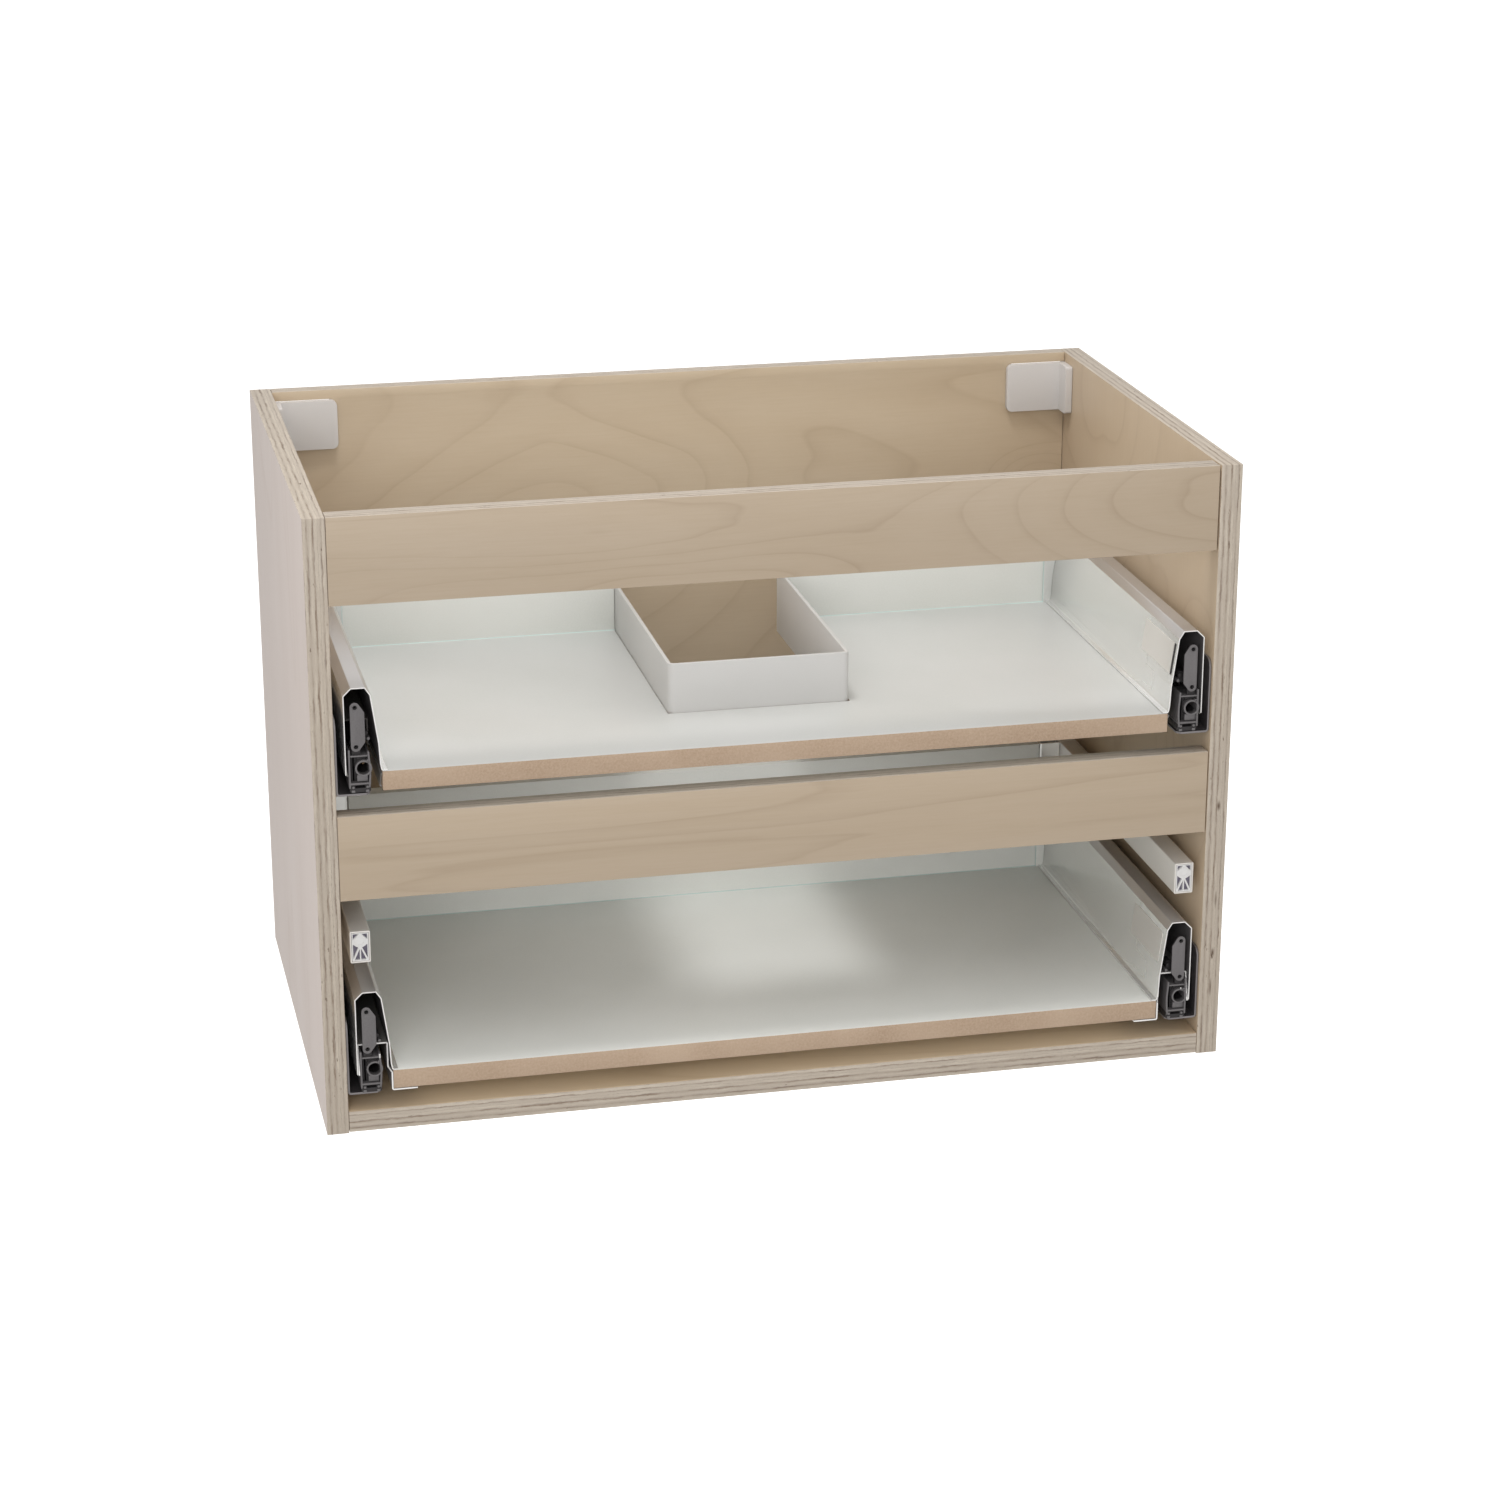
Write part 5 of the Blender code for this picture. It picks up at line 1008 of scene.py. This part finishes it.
def cast_bar(side, inner, outer, low, high, bow=0.0):
    """A bar with a round top between two distances from the middle, outward positive. A bow bends it in."""
    radius = (outer - inner) / 2
    bends = [(-bow * math.sin(math.pi * step / BOW_STEPS), low + (CASTING_TOP - low) * step / BOW_STEPS)
             for step in range(1, BOW_STEPS) if bow]
    outline = [(outer, low)] + [(outer + bend, v) for bend, v in bends]
    outline += arc(((inner + outer) / 2, high - radius), radius, 0, 180)
    outline += [(inner + bend, v) for bend, v in reversed(bends)] + [(inner, low)]
    return [(side * o, v) for o, v in outline]


def connector(level, side):
    """The shells of one front connector."""
    half = CASTING_HALF
    inner = half - BOW
    left, right = -inner + INNER_BAR, half - OUTER_BAR
    if side < 0:
        left, right = -right, -left
    bore = circle(BORE, BORE_RADIUS, 32)
    base = rectangle((-half + 0.0006, half - 0.0006), (CASTING_LOW, SILL_LOW + LAP), 0.0015)
    base_slot = rectangle((-0.0040, 0.0040), (-0.0132, -0.0110), 0.0004)
    sill = rectangle((-half + 0.0003, half - 0.0003), (SILL_LOW, SILL_TOP), 0.0005)
    lintel = rectangle((-inner + 0.0006, half - 0.0006), (LINTEL_LOW, CASTING_TOP), 0.0003)
    outer_bar = cast_bar(side, half - OUTER_BAR, half, BAR_FOOT, CASTING_TOP + 0.0050)
    inner_bar = cast_bar(side, -inner, -inner + INNER_BAR, BAR_FOOT, CASTING_TOP + 0.0030, BOW)
    panel = rectangle((left - LAP, right + LAP), (SILL_TOP - LAP, LINTEL_LOW + LAP))
    slots = [rectangle((RING_LEFT - 0.0014, RING_LEFT - 0.0001), (SILL_TOP, LINTEL_LOW - 0.0006), 0.0003)]
    if side < 0:
        slots.append(rectangle((left, left + 0.0009), (SILL_TOP + 0.0008, LINTEL_LOW - 0.0014), 0.0003))
    under = rectangle((RING_LEFT + 0.0016, right), (SILL_TOP + 0.0008, BORE[1] - RING + 0.0006), 0.0004)
    above = rectangle((RING_LEFT + 0.0020, right), (BORE[1] + RING - 0.0006, LINTEL_LOW), 0.0003)
    rows = [
        (DARK, 0.0016, 0.0270, 0.0004, 2, base, base_slot),
        (METAL, 0.0004, 0.0270, 0.0003, 3, sill),
        (METAL, 0.0008, 0.0270, 0.0003, 2, lintel),
        (METAL, 0.0003, 0.0260, 0.0003, 3, outer_bar),
        (METAL, 0.0003, 0.0260, 0.0004, 3, inner_bar),
        (DARK, 0.0060, 0.0240, 0, 2, panel, bore, *slots),
        (METAL, 0.0001, 0.0080, 0.0004, 3, circle(BORE, RING, 36), bore),
        (METAL, 0.0022, 0.0065, 0.0002, 2, under),
        (DARK, 0.0040, 0.0065, 0.0002, 2, above),
        (METAL, 0.0001, 0.0050, 0.0002, 2, circle(KNOB, 0.0015, 18), circle(KNOB, 0.0006, 12))]
    for u in (-FOOT_X, FOOT_X):
        rivet = circle((u, SILL_LOW - 0.0022), 0.0011, 14)
        foot = rectangle((u - 0.0014, u + 0.0014), (CASTING_LOW, CASTING_LOW + 0.0022), 0.0005)
        rows += [(METAL, 0.0005, 0.0060, 0.0004, 3, rivet), (METAL, 0.0009, 0.0200, 0.0004, 2, foot)]
    # the lower units get a small bright patch: a painted glint
    if level == "lower":
        glint = circle((BORE[0] + 0.0010, BORE[1] + 0.0072), 0.0007, 12)
        if side < 0:
            glint_span = (BORE[0] + 0.0036, BORE[0] + 0.0050)
            glint = rectangle(glint_span, (BORE[1] + 0.0094, BORE[1] + 0.0130), 0.0003)
        rows.append((GLINT_INDEX, 0.0001, 0.0030, 0.0002, 2, glint))
    return cast(level, side * CASTING_X, rows)


# %% Levers
LEVER_X = SIDE_FACE - 0.0092
LEVER_TOP = 0.0540
LEVER_LOW = 0.0215
LEVER_END = 0.0039
LEVER_REACH = 0.0074
LEVER_BEND = 0.0020
TOP_SHOULDER = 0.0045
LOW_SHOULDER = 0.0035
END_STEPS = 14
HOLE_RADIUS = 0.0018
WASHER_RADIUS = 0.0025
BOLT_RADIUS = 0.00175
HEXAGON_RADIUS = 0.0009


def touching_angle(corner, centre, radius, turn):
    """Angle in degrees where a line from a corner touches a circle."""
    across, above = corner[0] - centre[0], corner[1] - centre[1]
    return math.degrees(math.atan2(above, across) + turn * math.acos(radius / math.hypot(across, above)))


def lever_outline(side):
    """The lever plate's outline around its bolts, wider toward the drawer's inside."""
    top_corner = (-LEVER_REACH, LEVER_TOP - TOP_SHOULDER)
    low_corner = (-LEVER_REACH, LEVER_LOW + LOW_SHOULDER)
    top_end = touching_angle(top_corner, (0, LEVER_TOP), LEVER_END, -1) % 360
    low_start = touching_angle(low_corner, (0, LEVER_LOW), LEVER_END, 1) % 360
    top_arc = arc((0, LEVER_TOP), LEVER_END, 0, top_end, END_STEPS)
    low_arc = arc((0, LEVER_LOW), LEVER_END, low_start, 360, END_STEPS)
    straight = rounded([top_arc[-1], top_corner, low_corner, low_arc[0]], LEVER_BEND)
    outline = top_arc[:-1] + [tuple(point) for point in straight] + low_arc[1:]
    return [(side * u, v) for u, v in outline]


def lever(level, side):
    """A lever plate with a raised rim and a dark bolt in each of its holes."""
    ends = [(0, LEVER_TOP), (0, LEVER_LOW)]
    holes = [circle(end, HOLE_RADIUS, 24) for end in ends]
    rows = [(METAL, 0.0003, 0.0019, 0.0004, 3, lever_outline(side), *holes)]
    for end, hole in zip(ends, holes):
        hexagon = circle(end, HEXAGON_RADIUS, 6)
        rows += [
            (METAL, 0.0001, 0.0012, 0.0002, 2, circle(end, WASHER_RADIUS), hole),
            (DARK, 0.0013, 0.0034, 0.0002, 2, circle(end, BOLT_RADIUS, 20), hexagon),
            (DARK, 0.0022, 0.0032, 0, 2, hexagon)]
    return cast(level, side * LEVER_X, rows)


def lever_arm(level, side):
    """The dark arm behind the lever, with a rib and spring bosses beside it."""
    arm = rectangle((-0.0034, 0.0034), (CASTING_TOP - 0.0008, LEVER_TOP + 0.0016), 0.0012)
    rib = rectangle((-side * 0.0045, -side * 0.0095), (0.0236, 0.0330), 0.0015)
    return cast(level, side * LEVER_X, [
        (DARK, 0.0022, 0.0054, 0.0002, 2, arm),
        (DARK, 0.0090, 0.0200, 0.0002, 2, rib),
        (DARK, 0.0060, 0.0200, 0.0002, 2, circle((-side * 0.0086, 0.0305), 0.0017, 14)),
        (METAL, 0.0050, 0.0200, 0.0002, 2, circle((-side * 0.0104, 0.0262), 0.0013, 14))])


for level, side, corner in CORNERS:
    block = smoothed(joined("block", connector(level, side) + lever_arm(level, side)))
    add_piece(corner + "_connector_block", block, [CAST_METAL, DARK_CASTING, PAINTED_GLINT], level + "_drawer",
              "grey_die_cast_zinc", corner + "_front_connector")
    plate = smoothed(joined("lever", lever(level, side)))
    add_piece(corner + "_lever_plate", plate, [CAST_METAL, BOLT_STEEL], level + "_drawer",
              "grey_die_cast_zinc", corner + "_front_lever")
    print(corner, "connector faces:", len(block.polygons))

# %% [markdown]
# ## Gallery rails
# Above the lower drawer's sides run two rectangular tubes that raise the drawer's walls. A moulded plug
# closes the front end of each: a round boss on struts, with open cells between them. The CAD model's own
# supports, brackets and hanger bodies stay as they are, and only get their finish here.

# %% Gallery rails, end plugs and rear supports
TUBE_WALL = 0.0012
TUBE_ROUND = 0.0011
TUBE_HOLE_ROUND = 0.0004
TUBE_EDGE = 0.0002
PLUG_RIM = 0.0009
PLUG_ROUND = 0.0004
PLUG_EDGE = 0.0001
CELL_RIM = 0.0008
ELBOW_SHARE = 1.02
CORNER_CELL_SHARE = 0.84
BOSS_SHARE = 0.76
BOSS_HOLE_SHARE = 0.56
BOSS_DEPTHS = (-0.0004, 0.004)
PLUG_FLOOR_DEPTHS = (0.0026, 0.0036)


def plug_loops(low, high):
    """Outline and cells of a gallery plug."""
    centre = (low.x + high.x) / 2
    half = (high.x - low.x) / 2 - PLUG_RIM
    boss = (centre, high.z - PLUG_RIM - half)
    elbow = boss[1] - half * ELBOW_SHARE
    cell_top = high.z - CELL_RIM
    loops = [rectangle((low.x, high.x), (low.z, high.z), PLUG_ROUND)]
    for way in (-1, 1):
        wall = centre + way * half
        strut = centre + way * 0.0005
        lower_cell = [(strut, low.z + 0.0010), (wall - way * 0.0010, low.z + 0.0010), (strut, elbow - 0.0009)]
        upper_cell = [(wall, low.z + 0.0022), (wall, boss[1] - half * 0.50),
                      (centre + way * half * 0.62, boss[1] - half * 0.80),
                      (centre + way * half * 0.25, elbow + 0.0001)]
        corner_cell = [(wall, cell_top), (wall - way * half * CORNER_CELL_SHARE, cell_top),
                       (wall, cell_top - half * CORNER_CELL_SHARE)]
        loops += [lower_cell, upper_cell, corner_cell]
    return loops, boss, half


def refinish(node, material):
    """Give a CAD node that stays in view another material."""
    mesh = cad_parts[node].data
    mesh.materials.clear()
    mesh.materials.append(material)


for name, side in SIDES:
    low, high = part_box(name + "_gallery_rail")
    outer = rectangle((low.x, high.x), (low.z, high.z), TUBE_ROUND)
    hole_x, hole_z = [(low[axis] + TUBE_WALL, high[axis] - TUBE_WALL) for axis in (0, 2)]
    inner = rectangle(hole_x, hole_z, TUBE_HOLE_ROUND)
    tube = board("gallery", [outer, inner], (low.y, high.y), "XZ", TUBE_EDGE)
    add_piece(name + "_gallery_tube", tube, [PAINTED_STEEL], "lower_drawer", "white_coated_steel",
              name + "_gallery_rail")
    print(name, "gallery tube length in mm:", round((high.y - low.y) / MM, 1))

for name, side in SIDES:
    low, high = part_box(name + "_gallery_end_insert")
    loops, boss, half = plug_loops(low, high)
    boss_loops = [circle(boss, half * share) for share in (BOSS_SHARE, BOSS_HOLE_SHARE)]
    boss_span, floor_span = [
        [low.y + depth for depth in depths] for depths in (BOSS_DEPTHS, PLUG_FLOOR_DEPTHS)]
    floor_outline = rectangle((low.x, high.x), (low.z, high.z))
    parts = [(board("plug", loops, (low.y, high.y), "XZ", PLUG_EDGE), 0),
             (board("boss", boss_loops, boss_span, "XZ", PLUG_EDGE), 0),
             (board("plug_floor", [floor_outline], floor_span, "XZ"), 1)]
    add_piece(name + "_gallery_plug", smoothed(joined("plug", parts)), [INSERT_PLASTIC, PLUG_DEPTH],
              "lower_drawer", "pale_insert_plastic", name + "_gallery_end_insert")

    refinish(name + "_gallery_support", COATED_STEEL)
    refinish(name + "_hanger_body", RUNNER_STEEL)
for level, side, corner in CORNERS:
    refinish(corner + "_back_bracket", COATED_STEEL)

# %% [markdown]
# ## Roller cages, with Geometry Nodes
# Rollers between the runners sit in a ladder-shaped cage: two side bars with a cross bar between every two
# rollers. That is a repeated pattern along a line, which Geometry Nodes does well. One tree builds the whole
# cage from its sizes, and puts it at each point of the mesh that it gets.

# %% Helpers for geometry trees


def new_tree(name, sockets):
    """A tree with geometry in and out. Returns it, the sockets of its inputs and their identifiers."""
    tree = bpy.data.node_groups.new(name, "GeometryNodeTree")
    for way in ("INPUT", "OUTPUT"):
        tree.interface.new_socket("Geometry", in_out=way, socket_type="NodeSocketGeometry")
    found = {}
    for label, kind, value in sockets:
        socket = tree.interface.new_socket(label, in_out="INPUT", socket_type=kind)
        if value is not None:
            socket.default_value = value
        found[label] = socket.identifier
    return tree, add_node(tree, "NodeGroupInput").outputs, found


def row_of(tree, thing, count, axis, start, step):
    """Copies of a mesh in a row along an axis."""
    first = add_node(tree, "ShaderNodeCombineXYZ", {axis: start})
    offset = add_node(tree, "ShaderNodeCombineXYZ", {axis: step})
    line = add_node(tree, "GeometryNodeMeshLine", {
        "Count": count, "Start Location": first, "Offset": offset}, mode="OFFSET")
    return add_node(tree, "GeometryNodeInstanceOnPoints", {"Points": line, "Instance": thing})


def end_tree(tree, given, thing, **inputs):
    """Put a thing at each point that the tree gets, as real geometry in the given material."""
    copies = add_node(tree, "GeometryNodeInstanceOnPoints", {
        "Points": given["Geometry"], "Instance": thing, **inputs})
    real = add_node(tree, "GeometryNodeRealizeInstances", {0: copies})
    painted = add_node(tree, "GeometryNodeSetMaterial", {"Geometry": real, "Material": given["Material"]})
    add_node(tree, "NodeGroupOutput", {0: painted})


def run_tree(name, tree, points, values, directions=None):
    """Evaluate a tree on loose points and return its plain mesh."""
    mesh = bpy.data.meshes.new(name)
    mesh.from_pydata(points, [], [])
    if directions:
        attribute = mesh.attributes.new("direction", "FLOAT_VECTOR", "POINT")
        attribute.data.foreach_set("vector", [value for direction in directions for value in direction])
    thing = link(bpy.data.objects.new(name, mesh))
    modifier = thing.modifiers.new("nodes", "NODES")
    modifier.node_group = tree
    for identifier, value in values.items():
        modifier[identifier] = value
    return smoothed(as_mesh(thing, name))


# %% The cage tree
ROLLER_SIDES = 20
tree, given, cage_ids = new_tree("roller_cage", [
    ("Length", "NodeSocketFloat", 0.12), ("Roller Count", "NodeSocketInt", 8),
    ("Roller Radius", "NodeSocketFloat", 0.002), ("Roller Length", "NodeSocketFloat", 0.007),
    ("Width", "NodeSocketFloat", 0.0098), ("Bar", "NodeSocketFloat", 0.0014),
    ("Material", "NodeSocketMaterial", None)])
length, count, width, thick = [given[label] for label in ("Length", "Roller Count", "Width", "Bar")]
pitch = add_node(tree, "ShaderNodeMath", {0: length, 1: count}, operation="DIVIDE")
beyond = add_node(tree, "ShaderNodeMath", {0: pitch, 1: length}, operation="SUBTRACT")
start = add_node(tree, "ShaderNodeMath", {0: beyond, 1: 0.5}, operation="MULTIPLY")
roller = add_node(tree, "GeometryNodeMeshCylinder", {
    "Vertices": ROLLER_SIDES, "Radius": given["Roller Radius"], "Depth": given["Roller Length"]})
lying = add_node(tree, "GeometryNodeTransform", {"Geometry": roller, "Rotation": (0, math.pi / 2, 0)})
rollers = row_of(tree, lying, count, "Y", start, pitch)
half_back = add_node(tree, "ShaderNodeMath", {0: length, 1: -0.5}, operation="MULTIPLY")
start = add_node(tree, "ShaderNodeMath", {0: thick, 1: 0.5, 2: half_back}, operation="MULTIPLY_ADD")
room = add_node(tree, "ShaderNodeMath", {0: length, 1: thick}, operation="SUBTRACT")
pitch = add_node(tree, "ShaderNodeMath", {0: room, 1: count}, operation="DIVIDE")
bar_count = add_node(tree, "ShaderNodeMath", {0: count, 1: 1.0}, operation="ADD")
bar_size = add_node(tree, "ShaderNodeCombineXYZ", {0: width, 1: thick, 2: thick})
cross_bar = add_node(tree, "GeometryNodeMeshCube", {"Size": bar_size})
bars = row_of(tree, cross_bar, bar_count, "Y", start, pitch)
room = add_node(tree, "ShaderNodeMath", {0: width, 1: thick}, operation="SUBTRACT")
start = add_node(tree, "ShaderNodeMath", {0: room, 1: -0.5}, operation="MULTIPLY")
rail_size = add_node(tree, "ShaderNodeCombineXYZ", {0: thick, 1: length, 2: thick})
side_bar = add_node(tree, "GeometryNodeMeshCube", {"Size": rail_size})
rails = row_of(tree, side_bar, 2, "X", start, room)
cage = add_node(tree, "GeometryNodeJoinGeometry")
for row in (rollers, bars, rails):
    tree.links.new(row.outputs["Instances"], cage.inputs[0])
end_tree(tree, given, cage)

for level in LEVELS:
    for stage in ("outer", "inner"):
        nodes = [f"{level}_{name}_{stage}_roller_cage" for name, side in SIDES]
        boxes = [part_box(node) for node in nodes]
        size = boxes[0][1] - boxes[0][0]
        mesh = run_tree("cage", tree, [(low + high) / 2 for low, high in boxes], {
            cage_ids["Length"]: size.y, cage_ids["Width"]: size.x, cage_ids["Roller Radius"]: size.z / 2,
            cage_ids["Material"]: CAGE_PLASTIC})
        add_piece(f"{level}_{stage}_ladder_cages", mesh, [CAGE_PLASTIC], f"{level}_{stage}_roller_cages",
                  "natural_cage_plastic", *nodes)
        print(level, stage, "cage faces:", len(mesh.polygons))

# %% [markdown]
# ## Screws, with Geometry Nodes
# The runners are fixed with pan-head screws. One tree makes the head, a low cylinder under a cone that is
# cut by a cross recess, and turns a copy to each point's direction. The recess is a real cut in the mesh.

# %% The screw tree
HEAD_RADIUS = 0.0034
HEAD_HEIGHT = 0.0016
HEAD_SIDES = 28
CROWN_SHARE = 0.72
SLOT_SHARES = (1.05, 0.26)
tree, given, screw_ids = new_tree("pan_head_screw", [
    ("Head Radius", "NodeSocketFloat", HEAD_RADIUS), ("Head Height", "NodeSocketFloat", HEAD_HEIGHT),
    ("Material", "NodeSocketMaterial", None)])
radius, height = given["Head Radius"], given["Head Height"]
half_height = add_node(tree, "ShaderNodeMath", {0: height, 1: 0.5}, operation="MULTIPLY")
quarter_height = add_node(tree, "ShaderNodeMath", {0: half_height, 1: 0.5}, operation="MULTIPLY")
crown_radius = add_node(tree, "ShaderNodeMath", {0: radius, 1: CROWN_SHARE}, operation="MULTIPLY")
skirt = add_node(tree, "GeometryNodeMeshCylinder", {
    "Vertices": HEAD_SIDES, "Radius": radius, "Depth": half_height})
crown = add_node(tree, "GeometryNodeMeshCone", {
    "Vertices": HEAD_SIDES, "Radius Top": crown_radius, "Radius Bottom": radius, "Depth": half_height})
long, thin = [
    add_node(tree, "ShaderNodeMath", {0: radius, 1: share}, operation="MULTIPLY") for share in SLOT_SHARES]
raised = []
for size_x, size_y in ((long, thin), (thin, long)):
    size = add_node(tree, "ShaderNodeCombineXYZ", {0: size_x, 1: size_y, 2: height})
    raised.append((add_node(tree, "GeometryNodeMeshCube", {"Size": size}), height))
raised += [(skirt, quarter_height), (crown, half_height)]
shifts = [add_node(tree, "ShaderNodeCombineXYZ", {2: lift}) for thing, lift in raised]
first_arm, second_arm, skirt_up, crown_up = [
    add_node(tree, "GeometryNodeTransform", {"Geometry": thing, "Translation": shift})
    for (thing, lift), shift in zip(raised, shifts)]
recess = add_node(tree, "GeometryNodeMeshBoolean", {"Mesh 1": crown_up}, operation="DIFFERENCE")
head = add_node(tree, "GeometryNodeJoinGeometry")
for part, socket in (
        (first_arm, recess.inputs["Mesh 2"]), (second_arm, recess.inputs["Mesh 2"]),
        (skirt_up, head.inputs[0]), (recess, head.inputs[0])):
    tree.links.new(part.outputs[0], socket)
direction = add_node(tree, "GeometryNodeInputNamedAttribute", {"Name": "direction"}, data_type="FLOAT_VECTOR")
turned = add_node(tree, "FunctionNodeAlignRotationToVector", {"Vector": direction}, axis="Z")
end_tree(tree, given, head, Rotation=turned)
print("nodes of the screw tree:", len(tree.nodes))

# %% Screws on the runners
RUNNER_SCREW_Y = (-0.3996, -0.2716, -0.1436)
RUNNER_SCREW_Z = 0.0180
LIP_SCREW_Y = (-0.3718, -0.1550)


def add_screws(name, seats, body, slot):
    """Screw heads on their seats. A seat is a place and the direction that the head points in."""
    places, directions = zip(*seats)
    mesh = run_tree(name, tree, places, {screw_ids["Material"]: SCREW_STEEL}, directions)
    add_piece(name, mesh, [SCREW_STEEL], body, slot)
    print(name, "screws:", len(seats))


runner_seats = []
face = inside - GAP - CABINET_SHEET
lip_x = FLOOR_HALF - LIP_REACH / 2
for level in LEVELS:
    lip_z = FLOOR_TOP[level] - LIP_DROP - DRAWER_RUNNER_SHEET
    lip_seats = [((side * lip_x, y, lip_z), (0, 0, -1)) for name, side in SIDES for y in LIP_SCREW_Y]
    add_screws(level + "_lip_screw_heads", lip_seats, level + "_drawer", "white_coated_steel")
    screw_z = FLOOR_TOP[level] + RUNNER_SCREW_Z
    runner_seats += [
        ((side * face, y, screw_z), (-side, 0, 0)) for name, side in SIDES for y in RUNNER_SCREW_Y]
add_screws("cabinet_runner_screw_heads", runner_seats, "carcass", "grey_galvanised_steel")

# %% [markdown]
# ## Light, floor and background
# The cabinet hangs, so the floor lies well below it and takes only a faint shadow. An even pale world and
# three square lamps, one above the open top, one from the front left and a weak one low on the right, show
# colours about as they are written. Camera rays see the world as plain white, so the background stays white
# whatever the lamps do.

# %% World and lamps
WHITE = (1, 1, 1, 1)
WORLD_LEVEL = 0.76
world = bpy.data.worlds.new("studio_world")
bpy.context.scene.world = world
world.use_nodes = True
tree = world.node_tree
background = tree.nodes["Background"]
background.inputs["Color"].default_value = colour("#FFFEFC")
background.inputs["Strength"].default_value = WORLD_LEVEL
seen = add_node(tree, "ShaderNodeBackground", {"Color": WHITE, "Strength": 1.0})
rays = add_node(tree, "ShaderNodeLightPath").outputs["Is Camera Ray"]
choice = add_node(tree, "ShaderNodeMixShader", {0: rays, 1: background.outputs[0], 2: seen.outputs[0]})
tree.links.new(choice.outputs[0], tree.nodes["World Output"].inputs["Surface"])

# place, target, size and power of each lamp
lamps = {
    "overhead_softbox": ((-0.20, -0.45, 1.70), (0.0, -0.2, -0.1), 0.4, 11.0),
    "front_softbox": ((-1.1, -3.6, 1.15), (0.0, -0.2, 0.0), 1.6, 28.5),
    "low_fill_softbox": ((0.9, -2.8, -0.05), (0.1, -0.3, -0.05), 1.4, 3.5),
}
for name, (place, target, size, power) in lamps.items():
    data = bpy.data.lights.new(name, "AREA")
    data.shape = "SQUARE"
    data.size = size
    data.energy = power
    lamp = link(bpy.data.objects.new(name, data))
    lamp.location = place
    lamp.rotation_euler = (Vector(target) - Vector(place)).to_track_quat("-Z", "Y").to_euler()
    print(name, "power in watts:", power)

# %% Floor
FLOOR_DROP = 0.35
FLOOR_REACH = 30.0
FLOOR_GREY = 0.72
FLOOR_GLOW = 0.75
floor_z = side_low.z - FLOOR_DROP
corners = [(FLOOR_REACH * x, FLOOR_REACH * y, floor_z) for x, y in ((-1, -1), (1, -1), (1, 1), (-1, 1))]
floor_mesh = bpy.data.meshes.new("studio_floor")
floor_mesh.from_pydata(corners, [], [(0, 1, 2, 3)])
floor = link(bpy.data.objects.new("studio_floor", floor_mesh))
floor_material = bpy.data.materials.new("pale_studio_floor")
floor_material.use_nodes = True
tree = floor_material.node_tree
matt = add_node(tree, "ShaderNodeBsdfDiffuse", {"Color": (FLOOR_GREY, FLOOR_GREY, FLOOR_GREY, 1.0)})
glow = add_node(tree, "ShaderNodeEmission", {"Color": WHITE, "Strength": FLOOR_GLOW})
dark = add_node(tree, "ShaderNodeEmission", {"Strength": 0.0})
rays = add_node(tree, "ShaderNodeLightPath").outputs["Is Camera Ray"]
choice = add_node(tree, "ShaderNodeMixShader", {0: rays, 1: dark.outputs[0], 2: glow.outputs[0]})
total = add_node(tree, "ShaderNodeAddShader", {0: matt.outputs[0], 1: choice.outputs[0]})
tree.links.new(total.outputs[0], tree.nodes["Material Output"].inputs["Surface"])
floor_mesh.materials.append(floor_material)
floor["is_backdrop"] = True
print("floor height in metres:", round(floor_z, 4))

# %% [markdown]
# ## Last steps
# Both boxes, of the CAD model and of the dressed model, are gathered here, and the dressed one is printed.
# The dressed model has to stay inside the CAD model's box.

# %% Finish
size = {"cad": cad_box, "visual": [list(corner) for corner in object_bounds()]}
print("visual box in metres:", size["visual"])
